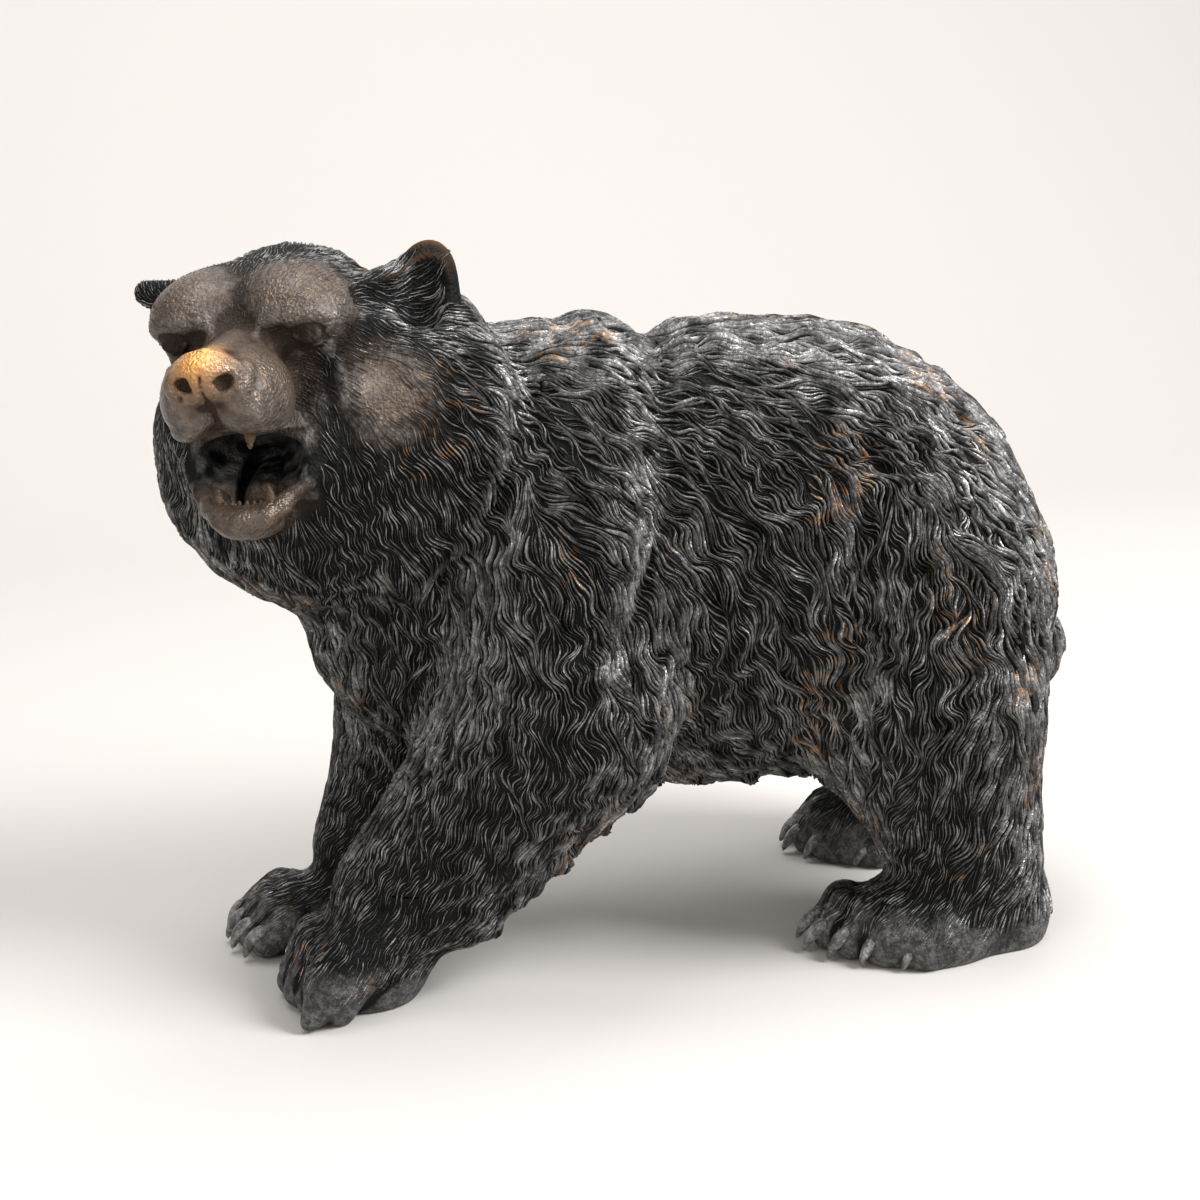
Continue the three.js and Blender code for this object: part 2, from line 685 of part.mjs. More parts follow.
// Turns a closed surface right side out
function outward({ points, triangles }) {
  let volume = 0;
  for (const [a, b, c] of triangles) volume += dot(points[a], cross(points[b], points[c]));
  return { points, triangles: volume > 0 ? triangles : triangles.map(([a, b, c]) => [a, c, b]) };
}

// A curved spike in a local frame: from its root, bent over to its tip
function spike(frame, root, tip, bend, radius, sides = 5) {
  const from = frame.place(root);
  const to = frame.place(tip);
  const bow = frame.turn(bend);
  const stations = [0, 0.35, 0.7].map((t) => {
    const at = add(add(times(from, 1 - t), to, t), bow, 4 * t * (1 - t));
    const along = unit(add(sub(to, from), bow, 4 * (1 - 2 * t)));
    const across = unit(cross(along, [0.13, 0.05, 0.99]));
    const r = radius * (1 - 0.75 * t * t - 0.1 * t);
    return { at, across: times(across, r), rise: times(cross(across, along), r) };
  });
  return horn(stations, to, sides, Math.PI / 2);
}

// One claw to a toe, arching forward and down to the ground
function claws(frame, toes, side, length) {
  return toes.map(([sideways, ahead]) => {
    const root = [ahead - 5, sideways * side, 11];
    const tip = [ahead + length, sideways * side * 1.06, 1.5];
    return spike(frame, root, tip, [0.5, 0, 3], 4.4);
  });
}

// Six incisors and two canines below, two canines above
const INCISORS = [-7.2, -4.4, -1.5, 1.5, 4.4, 7.2];
function teeth() {
  const found = INCISORS.map((l) => spike(HEAD, [53, l, -55], [54, l, -43.5], [0.5, 0, 0], 1.9, 4));
  for (const side of [-1, 1]) {
    found.push(spike(HEAD, [46, 12 * side, -53], [51, 11 * side, -38], [1.5, 0, 0], 3.1));
    found.push(spike(HEAD, [76, 13 * side, -16], [77, 12 * side, -31], [1.5, 0, 0], 3));
  }
  return found;
}

// A lock of fur: a swelling and tapering ridge that follows the combed way over the surface
const LOCK_STEPS = 3;
function lock(field, root) {
  const spine = [];
  let at = onSurface(field, root);
  for (let i = 0; i <= LOCK_STEPS; i++) {
    const t = i / LOCK_STEPS;
    const normal = unit(fieldAt(field, at).slope);
    const way = combed(at);
    const along = unit(sub(way, times(normal, dot(way, normal))));
    const radius = (LOCK_WIDTH / 2) * Math.sin(Math.PI * (0.14 + 0.76 * t));
    const height = LOCK_HEIGHT * (0.35 + 0.65 * t);
    spine.push({ at: add(at, normal, height - radius), radius });
    at = onSurface(field, add(at, along, LOCK_LENGTH / LOCK_STEPS));
  }
  return ridge(spine);
}

// Round cones end to end along a spine
function ridge(spine) {
  const pairs = spine.slice(1).map((to, i) => [spine[i], to]);
  return pairs.map(([from, to]) => joined(limb(WORLD, from.at, to.at, from.radius, to.radius), 1.5));
}

// A row of free locks that hang off an edge: the first and last tips, and the way they point
function fringe(first, last, count, way, length, width) {
  const locks = [];
  for (let i = 0; i < count; i++) {
    const t = i / (count - 1);
    const uneven = 0.12 - 0.08 * ((i * 2) % 3);
    const tip = add(add(times(first, 1 - t), last, t), way, -uneven * length);
    const radii = [0.45 * width, 0.42 * width, 0.11 * width];
    locks.push(...ridge(radii.map((radius, k) => ({ at: add(tip, way, -length * (1 - k / 2)), radius }))));
  }
  return locks;
}

// The jagged edges of the coat
function fringes() {
  return [
    ...fringe([-9, -57, 107], [-90, -52, 38], 10, unit([0.32, -0.1, -0.94]), 30, 15), // left forearm
    ...fringe([-25, 60, 92], [-98, 58, 50], 7, unit([0.4, 0.1, -0.9]), 24, 13), // right forearm
    ...fringe([240, -22, 140], [240, 14, 128], 3, unit([0.35, -0.1, -0.93]), 28, 15), // rump and tail
    ...fringe([0, -38, 88], [108, -34, 84], 7, unit([0.6, 0, -0.8]), 26, 18), // left edge of the belly
    ...fringe([0, 40, 88], [108, 38, 84], 7, unit([0.6, 0, -0.8]), 26, 18), // right edge of the belly
  ];
}

// The nearest point of the surface, by a few steps down the slope of the field
function onSurface(field, p) {
  let at = p;
  for (let i = 0; i < 4; i++) {
    const { value, slope } = fieldAt(field, at);
    at = add(at, slope, -value / Math.max(dot(slope, slope), 0.1));
  }
  return at;
}

// Where locks may grow: neither on the face nor on the paws
const FACE_MIDDLE = HEAD.place([42, 0, 0]);
const FACE_REACH = 78;
const PAW_TOP = 52;
const fromFace = (p) => Math.hypot(...sub(p, FACE_MIDDLE));
const furred = (p) => fromFace(p) > FACE_REACH && p[2] > PAW_TOP;

// Scattered seeds, never closer than the spacing: a repeatable shuffle of the surface's points
function seeds(points, spacing) {
  let state = 20261;
  const random = () => {
    state = (state * 48271) % 2147483647;
    return state / 2147483647;
  };
  const order = points.filter((p) => furred(p)).map((p) => [random(), p]);
  order.sort((a, b) => a[0] - b[0]);
  const kept = [];
  for (const [, p] of order) {
    if (kept.every((q) => Math.hypot(...sub(p, q)) > spacing)) kept.push(p);
  }
  return kept;
}

// The smooth body first, then the locks on its skin
const LOW = [-290, -125, -34];
const HIGH = [270, 130, 385];
const field = sampleField(SHAPES, LOW, HIGH, GRID);
const skin = surfaceOf(field);
const roots = seeds(skin.points.filter((_, i) => i % 5 === 0), LOCK_SPACING);
const locks = roots.flatMap((root) => lock(field, root));
const furry = sampleField([...locks, ...fringes()], LOW, HIGH, GRID, field.values);
const surface = largestPiece(surfaceOf(furry));
settle(surface.points, furry);

// The face keeps the most triangles, the paws more than the coat
const FACE_WEIGHT = 16;
const PAW_WEIGHT = 9;
const worth = (p) => {
  if (fromFace(p) < FACE_REACH) return FACE_WEIGHT;
  return p[2] < PAW_TOP ? PAW_WEIGHT : 1;
};
const body = new Thinner(surface, worth).run(BODY_TRIANGLES);

const horns = [
  ...claws(NEAR_FORE, FORE_TOES, 1, 6),
  ...claws(FAR_FORE, FORE_TOES, -1, 6),
  ...claws(NEAR_HIND, NEAR_HIND_TOES, 1, 9),
  ...claws(FAR_HIND, FAR_HIND_TOES, -1, 9),
  ...teeth(),
];

const wasm = await Module();
wasm.setup();
function solid({ points, triangles }) {
  const vertProperties = Float32Array.from(points.flat());
  const triVerts = Uint32Array.from(triangles.flat());
  return new wasm.Manifold(new wasm.Mesh({ numProp: 3, vertProperties, triVerts }));
}

let cast = solid(body);
for (const extra of horns) cast = cast.add(solid(extra));

// Everything under the soles is cut off, so the feet stand flat
const SLAB = [600, 300, 60];
const floor = new THREE.BoxGeometry(...SLAB);
floor.translate(0, 0, SOLE_CUT - SLAB[2] / 2);
floor.deleteAttribute("normal");
floor.deleteAttribute("uv");
const slab = mergeVertices(floor);
cast = cast.subtract(new wasm.Manifold(new wasm.Mesh({
  numProp: 3,
  vertProperties: Float32Array.from(slab.attributes.position.array),
  triVerts: Uint32Array.from(slab.index.array),
})));

// Centred over its bounding box
const result = cast.getMesh();
const geometry = new THREE.BufferGeometry();
geometry.setAttribute("position", new THREE.Float32BufferAttribute(result.vertProperties, 3));
geometry.setIndex(Array.from(result.triVerts));
geometry.computeBoundingBox();
const middle = geometry.boundingBox.getCenter(new THREE.Vector3());
geometry.translate(-middle.x, -middle.y, 0);

const bronze = new THREE.MeshStandardMaterial({ color: "#3a322b", roughness: 0.45, metalness: 0.9 });
const bear = new THREE.Mesh(geometry, bronze);
bear.name = "bear";
const group = new THREE.Group();
group.add(bear);
export default group;
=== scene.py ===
# %% [markdown]
# # A bronze bear
# A tabletop bronze of a walking bear with its head turned to its left and its jaws open. It is one hollow
# casting, so the solid is one node, and this lesson gives that casting its looks: the face, the paws and
# the shaggy coat. The body is the same field of blobs and limbs as in the solid, so the form stays the
# same.

import itertools
import math
from collections import namedtuple

import bpy
import numpy as np
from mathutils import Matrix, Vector


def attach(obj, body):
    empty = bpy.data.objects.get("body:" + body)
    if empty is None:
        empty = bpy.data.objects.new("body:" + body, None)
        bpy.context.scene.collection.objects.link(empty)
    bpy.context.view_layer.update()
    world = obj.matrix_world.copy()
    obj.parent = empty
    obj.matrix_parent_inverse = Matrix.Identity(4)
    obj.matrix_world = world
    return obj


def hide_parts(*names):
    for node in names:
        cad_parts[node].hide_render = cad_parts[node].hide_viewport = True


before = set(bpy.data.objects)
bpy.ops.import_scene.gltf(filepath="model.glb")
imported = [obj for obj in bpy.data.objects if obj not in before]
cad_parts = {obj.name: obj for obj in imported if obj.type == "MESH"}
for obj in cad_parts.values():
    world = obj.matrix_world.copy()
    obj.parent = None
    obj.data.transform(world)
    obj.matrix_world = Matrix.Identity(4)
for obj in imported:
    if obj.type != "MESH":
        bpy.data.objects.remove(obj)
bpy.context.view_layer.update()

# %% [markdown]
# ## Camera
# The photo was taken a little above the bear's shoulder, from its left and slightly ahead. All shapes
# below are in millimetres, with the bear facing -X, and were drawn before the solid was centred over its
# origin. `MIDDLE` is the point that then came to the origin.

# %% Camera
MIDDLE = np.array([9.68, 0.88, 0.0])
AZIMUTH = math.radians(-17)
ELEVATION = math.radians(16)
DISTANCE = 1300.0
AIM = np.array([0.0, 25.0, 170.0])
SENSOR = 36.0
LENS = 78.0

back = np.array([
    math.sin(AZIMUTH) * math.cos(ELEVATION),
    -math.cos(AZIMUTH) * math.cos(ELEVATION),
    math.sin(ELEVATION),
])
camera_data = bpy.data.cameras.new("camera")
camera_data.sensor_width = SENSOR
camera_data.lens = LENS
camera = bpy.data.objects.new("camera", camera_data)
bpy.context.scene.collection.objects.link(camera)
camera.location = Vector((AIM - MIDDLE + back * DISTANCE) / 1000)
camera.rotation_mode = "QUATERNION"
camera.rotation_quaternion = Vector(-back).to_track_quat("-Z", "Y")
bpy.context.scene.camera = camera
print("camera at", tuple(round(c, 3) for c in camera.location), "with a lens of", LENS, "mm")

# %% [markdown]
# ## Frames
# The head and each paw have a frame of their own, with axes ahead, left and up, so that both sides of a
# face can be drawn with the same numbers.


# %% Frames
def unit(vectors):
    """Vectors at a length of one."""
    vectors = np.asarray(vectors, float)
    return vectors / np.maximum(np.linalg.norm(vectors, axis=-1, keepdims=True), 1e-9)


class Frame:
    """An origin and three axes: ahead, left and up."""

    def __init__(self, origin, axes):
        self.origin = np.array(origin, float)
        self.axes = np.array(axes, float)

    def turn(self, way):
        return np.asarray(way, float) @ self.axes

    def place(self, point):
        return self.origin + self.turn(point)

    def local(self, points):
        return (points - self.origin) @ self.axes.T


def facing(origin, yaw, pitch=0, roll=0):
    """The frame of something that looks along yaw, from -X towards -Y, and pitch, upwards, in degrees."""
    y, p, r = np.radians([yaw, pitch, roll])
    ahead = np.array([-np.cos(y) * np.cos(p), -np.sin(y) * np.cos(p), np.sin(p)])
    level = unit(np.cross([0, 0, 1], ahead))
    lifted = np.cross(ahead, level)
    left = level * np.cos(r) + lifted * np.sin(r)
    up = lifted * np.cos(r) - level * np.sin(r)
    return Frame(origin, [ahead, left, up])


WORLD = Frame([0, 0, 0], np.eye(3))
HEAD = facing([-165, -6, 292], 62, 12, 6)
NEAR_FORE = facing([-138, -32, 0], 10)
FAR_FORE = facing([-148, 44, 0], -4)
NEAR_HIND = facing([188, -48, 0], 10)
FAR_HIND = facing([216, 68, 0], -6)
print("the head looks along", HEAD.axes[0].round(2))

# %% [markdown]
# ## Blobs and limbs
# A blob is an ellipsoid and a limb is a round cone. Each gives its distance to any point, negative inside,
# and shapes melt into each other over a `blend` of a few millimetres, as wax does under a warm tool.

# %% Blobs and limbs
Shape = namedtuple("Shape", "middle reach distance blend cut")
BLEND = 22  # how softly the great masses melt together


def blob(at, centre, radii, tip=0):
    """An ellipsoid with its radii along the frame's axes, tipped nose down by `tip` degrees."""
    middle = at.place(centre)
    ahead, left, up = at.axes
    t = math.radians(tip)
    axes = (ahead * math.cos(t) - up * math.sin(t), left, up * math.cos(t) + ahead * math.sin(t))

    def distance(x, y, z):
        dx, dy, dz = x - middle[0], y - middle[1], z - middle[2]
        square = 0
        slope = 0
        for axis, radius in zip(axes, radii):
            q = ((dx * axis[0] + dy * axis[1] + dz * axis[2]) / radius) ** 2
            square = square + q
            slope = slope + q / radius**2
        length = np.sqrt(square)
        return length * (length - 1) / np.sqrt(np.maximum(slope, 1e-9))

    return middle, max(radii), distance


def limb(at, start, end, start_radius, end_radius):
    """A round cone from one point to another, with a radius at each end."""
    a = at.place(start)
    axis = at.place(end) - a
    square = axis @ axis
    taper = start_radius - end_radius
    slant = square - taper * taper

    def distance(x, y, z):
        dx, dy, dz = x - a[0], y - a[1], z - a[2]
        along = dx * axis[0] + dy * axis[1] + dz * axis[2]
        past = along - square
        off = square * (square * (dx * dx + dy * dy + dz * dz) - along * along)
        off = np.maximum(off, 0)
        rim = np.sign(taper) * taper * taper * off
        side = (np.sqrt(off * slant / square) + along * taper) / square - start_radius
        before = np.sqrt(off + along * along * square) / square - start_radius
        beyond = np.sqrt(off + past * past * square) / square - end_radius
        side = np.where(np.sign(along) * slant * along * along * square < rim, before, side)
        return np.where(np.sign(past) * slant * past * past * square > rim, beyond, side)

    return a + axis / 2, math.sqrt(square) / 2 + max(start_radius, end_radius), distance


def joined(shape, blend=BLEND):
    """A shape that is added to the bear."""
    return Shape(*shape, blend, False)


def carved(shape, blend=3):
    """A shape that is cut out of the bear."""
    return Shape(*shape, blend, True)


def melt(value, distance, shape):
    """Smooth union or smooth cut of one more shape into the values of a field."""
    other = -distance if shape.cut else distance
    overlap = np.maximum(shape.blend - np.abs(value - other), 0) / shape.blend
    rounding = overlap * overlap * shape.blend * 0.25
    return np.maximum(value, other) + rounding if shape.cut else np.minimum(value, other) - rounding


# %% [markdown]
# ## Trunk, neck and legs
# The great masses of the bear, with the numbers of the solid: rump, barrel, withers and chest, a neck that
# swings to the left, and four legs in mid-stride, each a chain of round cones.


# %% Trunk, neck and legs
def chain(at, points, radii, blend=BLEND):
    """Limbs from point to point, such as a leg or the rim of a lip."""
    ends = zip(points, points[1:], radii, radii[1:])
    return [joined(limb(at, a, b, ra, rb), blend) for a, b, ra, rb in ends]


def trunk_and_neck():
    rump = blob(WORLD, [148, 0, 180], [69, 74, 98])
    loins = blob(WORLD, [100, 0, 197], [87, 78, 111])
    barrel = blob(WORLD, [45, 0, 197], [94, 74, 115])
    withers = blob(WORLD, [-17, 0, 218], [64, 72, 95])
    chest = blob(WORLD, [-96, 9, 186], [55, 50, 70])
    tail = blob(WORLD, [224, 0, 136], [14, 22, 26])
    neck = limb(WORLD, [-46, 0, 238], [-108, 4, 271], 66, 64)
    nape = limb(WORLD, [-104, 4, 250], [-138, 0, 264], 62, 58)
    throat = blob(WORLD, [-149, 4, 240], [58, 53, 50])
    return [joined(mass) for mass in (rump, loins, barrel, withers, chest, tail, neck, nape, throat)]


# Each toe: how far it lies towards the outer side, how far ahead it reaches, and its radius
FORE_TOES = [[-24, 30, 8.5], [-12, 35, 9], [1, 36, 9.5], [14, 34, 10], [26, 27, 10.5]]
NEAR_HIND_TOES = [[-28, 90, 8.5], [-14, 95, 9], [0, 90, 9.5], [13, 80, 10], [26, 64, 10.5]]
FAR_HIND_TOES = [[-27, 54, 9], [-13, 78, 9.5], [1, 86, 9.5], [14, 84, 9], [26, 76, 8.5]]


def toe(at, sideways, ahead, radius, knuckle):
    """A toe rises to a knuckle and curls down to its tip."""
    root = [ahead - 34, sideways * 0.7, knuckle - 2]
    joint = [ahead - 16, sideways * 0.9, knuckle]
    tip = [ahead - 5, sideways, 8]
    return chain(at, [root, joint, tip], [radius, radius + 1, radius - 1], 4)


def fore_paw(at, side, knuckle):
    parts = [joined(blob(at, [-2, 0, knuckle - 9], [32, 31, 27]), 12)]
    for sideways, ahead, radius in FORE_TOES:
        parts += toe(at, sideways * side, ahead, radius, knuckle)
    return parts


def wedge_toe():
    """The outer toe of the left forepaw is a heavy wedge that points down and outwards."""
    return [
        joined(limb(WORLD, [-128, -48, 42], [-157, -61, 18], 20, 13), 5),
        joined(limb(WORLD, [-157, -61, 18], [-170, -68, 5], 13, 4.5), 3),
    ]


def hind_paw(at, toes, side):
    parts = [
        joined(blob(at, [4, 2 * side, 13], [30, 32, 32]), 10),
        joined(blob(at, [42, 2 * side, 12], [44, 35, 27]), 10),
    ]
    for sideways, ahead, radius in toes:
        parts += toe(at, sideways * side, ahead, radius, 19)
    return parts


def legs():
    return [
        *chain(WORLD, [[-38, -44, 208], [-42, -52, 142], [-118, -34, 48]], [50, 46, 33]),
        *chain(WORLD, [[-70, 38, 200], [-86, 44, 122], [-120, 43, 46]], [46, 37, 25]),
        *chain(WORLD, [[150, -34, 176], [146, -46, 128], [168, -54, 46]], [60, 53, 38]),
        *chain(WORLD, [[152, 36, 180], [172, 48, 122], [208, 64, 46]], [60, 50, 34]),
        *fore_paw(NEAR_FORE, 1, 25),
        *wedge_toe(),
        *fore_paw(FAR_FORE, -1, 15),
        *hind_paw(NEAR_HIND, NEAR_HIND_TOES, 1),
        *hind_paw(FAR_HIND, FAR_HIND_TOES, -1),
    ]


# %% [markdown]
# ## Tufts
# Under the forearms and the belly the hair hangs in tufts, and their jagged edge is what shows the coat in
# the outline. Loose spikes would look like thorns, so each tuft is a short cone that melts into the body
# and gets strands of its own like any other place.


# %% Tufts
# Each row: the first and the last tip, the number of tufts, and the way they hang
TUFTS = [
    [[-4, -57, 104], [-88, -53, 34], 13, [0.42, -0.1, -0.9]],
    [[-25, 60, 94], [-98, 58, 52], 9, [0.4, 0.1, -0.9]],
    [[2, -28, 96], [106, -28, 92], 12, [0.5, 0, -0.86]],
]
TUFT_LENGTH = 20
TUFT_RADII = [9, 2.6]
TUFT_BLEND = 4


def tufts():
    """Short cones along each row, each with a reach of its own."""
    parts = []
    for first, last, count, way in TUFTS:
        first, last = np.array(first, float), np.array(last, float)
        way = unit(np.array(way, float))
        for i in range(count):
            reach = 2.5 + 3.5 * math.sin(2.4 * i)
            tip = first + (last - first) * i / (count - 1) + way * reach
            parts.append(joined(limb(WORLD, tip - way * TUFT_LENGTH, tip, *TUFT_RADII), TUFT_BLEND))
    return parts


print(len(tufts()), "tufts")

# %% [markdown]
# ## Head
# Skull, brows, muzzle, flews and cheeks, again with the numbers of the solid. A modeller would press these
# on as pellets of wax and rub them together; here each pellet is a blob or a limb with a small blend.


# %% Head
def head():
    """Skull, muzzle and jaw in the middle, then what the two sides of the face have alike."""
    parts = [
        # Skull, crown, muzzle, bridge and pad of the nose
        joined(blob(HEAD, [-12, 0, 10], [52, 47, 52]), 14),
        joined(blob(HEAD, [-26, 4, 28], [38, 44, 40]), 10),
        joined(blob(HEAD, [56, 0, 0], [34, 21, 15], 6), 8),
        joined(limb(HEAD, [30, 0, 18], [88, 0, 8], 13, 8.5), 6),
        joined(blob(HEAD, [91, -1, 5], [12, 15.5, 11], 12), 3),
        # Jaws, chin and throat
        joined(blob(HEAD, [14, 0, -26], [36, 40, 28], 14), 12),
        joined(limb(HEAD, [12, 0, -48], [38, 0, -54], 22, 10), 8),
        joined(blob(HEAD, [-8, 0, -56], [28, 42, 26]), 12),
        # The dome of the left cheek, and the flatter right one
        joined(blob(HEAD, [12, 39, -9], [23, 18, 21]), 9),
        joined(blob(HEAD, [10, -35, -12], [23, 17, 20]), 12),
    ]
    for side in (-1, 1):
        parts += [
            # Ruff, brow and the swelling over the eye
            joined(blob(HEAD, [-8, 43 * side, -28], [24, 17, 36]), 12),
            joined(blob(HEAD, [14, 21 * side, 34], [33, 25, 22], -2), 16),
            joined(blob(HEAD, [34, 25 * side, 33], [15, 17, 11]), 14),
            # Flew, its outer corner and the flank of the nose
            joined(blob(HEAD, [73, 13 * side, -4], [21, 14, 17], 10), 8),
            joined(blob(HEAD, [65, 20 * side, -5], [13, 8, 13], 6), 7),
            joined(blob(HEAD, [66, 11 * side, 6], [22, 11, 10], 14), 8),
            # Eye socket, eyeball and nostril
            carved(blob(HEAD, [52, 28 * side, 18], [8, 9, 6]), 7),
            joined(blob(HEAD, [43, 31 * side, 21.5], [4.6, 4.6, 4.6]), 1.5),
            carved(blob(HEAD, [102, 9 * side, 1.5], [8, 3.8, 3.4]), 1),
        ]
    return parts


def near_ear():
    """The left ear is pricked: a leaf on its own leaning axis, cupped in front down to its broad base."""
    lean = math.radians(16)
    turn = math.radians(12)
    out = np.array([0, math.sin(lean), math.cos(lean)])
    side = np.array([0, math.cos(lean), -math.sin(lean)])
    nose = np.array([1, 0, 0])
    ahead = nose * math.cos(turn) + side * math.sin(turn)
    across = side * math.cos(turn) - nose * math.sin(turn)
    leaf = Frame(HEAD.place(np.array([-14, 66, 30]) + 12 * out), HEAD.turn([ahead, across, out]))
    return [
        joined(blob(leaf, [0, 0, 0], [8, 15, 23]), 7),
        joined(limb(HEAD, [0, 42, 30], [-14, 63, 40], 19, 15), 5),
        carved(blob(leaf, [11, 1.5, -2], [10, 13, 20]), 2),
        carved(limb(HEAD, [17, 52, 40], [4, 68, 38], 9, 12), 3),
    ]


def far_ear():
    """The right ear is laid out sideways and shows only its edge in the photo."""
    return [joined(limb(HEAD, [-10, -38, 42], [-14, -63, 50], 12, 6), 5)]


# The rim of the lower lip, from its middle to its left corner
LIP = [[60, 0, -57], [58, 10, -56], [53, 16, -52], [47, 20.5, -46.5], [41.5, 25, -41.5], [36, 29, -38]]
LIP_RADII = [5.6, 5.2, 4.4, 3.7, 3.1, 2.4]


def mirrored(points):
    """The points of one side, then those of the other, from corner to corner."""
    return [[f, -l, u] for f, l, u in points[:0:-1]] + points


def mouth():
    """Lip and chin, the gape and the throat cut out, then the tongue and the skin at both corners."""
    return [
        *chain(HEAD, mirrored(LIP), LIP_RADII[:0:-1] + LIP_RADII, 2),
        joined(blob(HEAD, [48, 0, -60], [12, 15, 6], 14), 5),
        carved(blob(HEAD, [46, 0, -33], [31, 27, 12.5], 26)),
        carved(limb(HEAD, [14, 0, -36], [42, 0, -46], 12, 10)),
        joined(limb(HEAD, [6, 1, -42], [35, 2, -48], 12, 8), 2),
        joined(blob(HEAD, [32, 25, -36], [9, 4, 13]), 4),
        joined(blob(HEAD, [32, -25, -36], [9, 4, 13]), 4),
    ]


SHAPES = [*trunk_and_neck(), *tufts(), *legs(), *head(), *near_ear(), *far_ear(), *mouth()]
print(len(SHAPES), "shapes melt into the bear")


# %% [markdown]
# ## Details of the face
# What is too fine for the solid: the lids and the folds round the eyes, the wings of the nose and the
# groove below it, the rim of the lip and the folds of the jowl. A thin limb that is melted on would stand
# off as a tube, so these are lines that are later laid on the surface, which rises or sinks a little along
# them.


# %% Details of the face
Relief = namedtuple("Relief", "points width height")


def around(centre, ahead, across, up, first, last, steps):
    """Points on an oval around a centre; 0 degrees lies outwards and 90 upwards."""
    points = []
    for angle in np.radians(np.linspace(first, last, steps)):
        c, s = math.cos(angle), math.sin(angle)
        points.append([centre[0] - ahead * c * c, centre[1] + across * c, centre[2] + up * s])
    return points


def eye_details(side):
    """The frown, the brow's fold, the tear pit, both lids, the rings round them and the folds below."""
    eye = [47, 31 * side, 22]
    return [
        Relief([[56, 16 * side, 31], [57, 15 * side, 26]], 8, 2.2),
        Relief([[52, 27 * side, 30], [48, 36 * side, 30], [42, 43 * side, 28]], 6, 2.0),
        Relief([[56, 23 * side, 23], [53, 24 * side, 19]], 5, -3),
        Relief(around(eye, 2, 5.4 * side, 3.6, 0, 180, 9), 1.9, 1.8),
        Relief(around(eye, 2, 5.4 * side, -3.6, 0, 180, 9), 1.9, 1.8),
        Relief(around(eye, 3, 8 * side, 5.6, 0, 360, 17), 1.6, -0.8),
        Relief(around(eye, 1, 2.4 * side, 2, 0, 360, 13), 0.9, -0.5),
        Relief([[58, 20 * side, 14], [50, 30 * side, 13], [42, 38 * side, 16]], 3, 1.0),
        Relief([[38, 39 * side, 14], [36, 41 * side, 7]], 5, 2),
    ]


def muzzle_details(side):
    """The furrow before the cheek, then the pad's rim, the wing and slit of the nostril, and the flew."""
    return [
        Relief([[43, 38 * side, 6], [40, 40 * side, -8], [37, 42 * side, -22]], 7, -1),
        Relief([[95, 0, 16], [94, 8 * side, 15], [92, 14 * side, 10], [92, 16 * side, 3]], 1.8, 1.4),
        Relief([[88, 17 * side, 8], [93, 17 * side, 2], [96, 15 * side, -3]], 3.2, 2.2),
        Relief([[103, 9 * side, 1.5], [102, 9 * side, 0.5]], 3.2, -3),
        Relief([[102, 10 * side, 0], [100, 13 * side, -3], [97, 16 * side, -5]], 1.5, -1.6),
        Relief([[88, 12 * side, -22], [78, 20 * side, -20], [68, 26 * side, -18]], 2.2, 0.8),
    ]


def face_details():
    """All lines on the face: raised where the height is positive, and sunk where it is negative."""
    groove = Relief([[106, 0, 6], [105, 0, -4], [98, 0, -13], [90, 0, -20]], 1.4, -1.5)
    lip_rim = Relief(mirrored([[f, l, u + r] for (f, l, u), r in zip(LIP, LIP_RADII)]), 2.2, 1.1)
    far_flew = Relief([[92, -4, -21], [85, -14, -25], [76, -22, -25], [66, -28, -22]], 5, 3.5)
    jowl = [[40, -44, 6], [37, -45, -12], [38, -44, -25], [44, -37, -36], [52, -26, -45]]
    inner_jowl = [[50, -40, 4], [50, -38, -10], [52, -33, -22], [56, -30, -30]]
    tongue_groove = Relief([[12, 1, -30], [28, 2, -36], [44, 2, -44]], 2.5, -1.5)
    details = [groove, lip_rim, far_flew, Relief(jowl, 3, 2.2), Relief(inner_jowl, 2.4, 1.4), tongue_groove]
    for side in (-1, 1):
        details += eye_details(side) + muzzle_details(side)
    return details


print(len(face_details()), "lines of relief on the face")

# %% [markdown]
# ## From field to surface
# The field is sampled on a grid in a box of space. A net of squares then gets one point in every grid cell
# that the surface passes through, and each point slides down the field's slope until it lies on the
# surface.

# %% Field
FAR = 24.0  # the field is true up to this distance from the surface
THREAD = 0.001  # the radius of a line, close to nothing
CORNERS = np.array(list(itertools.product((0, 1), repeat=3)))


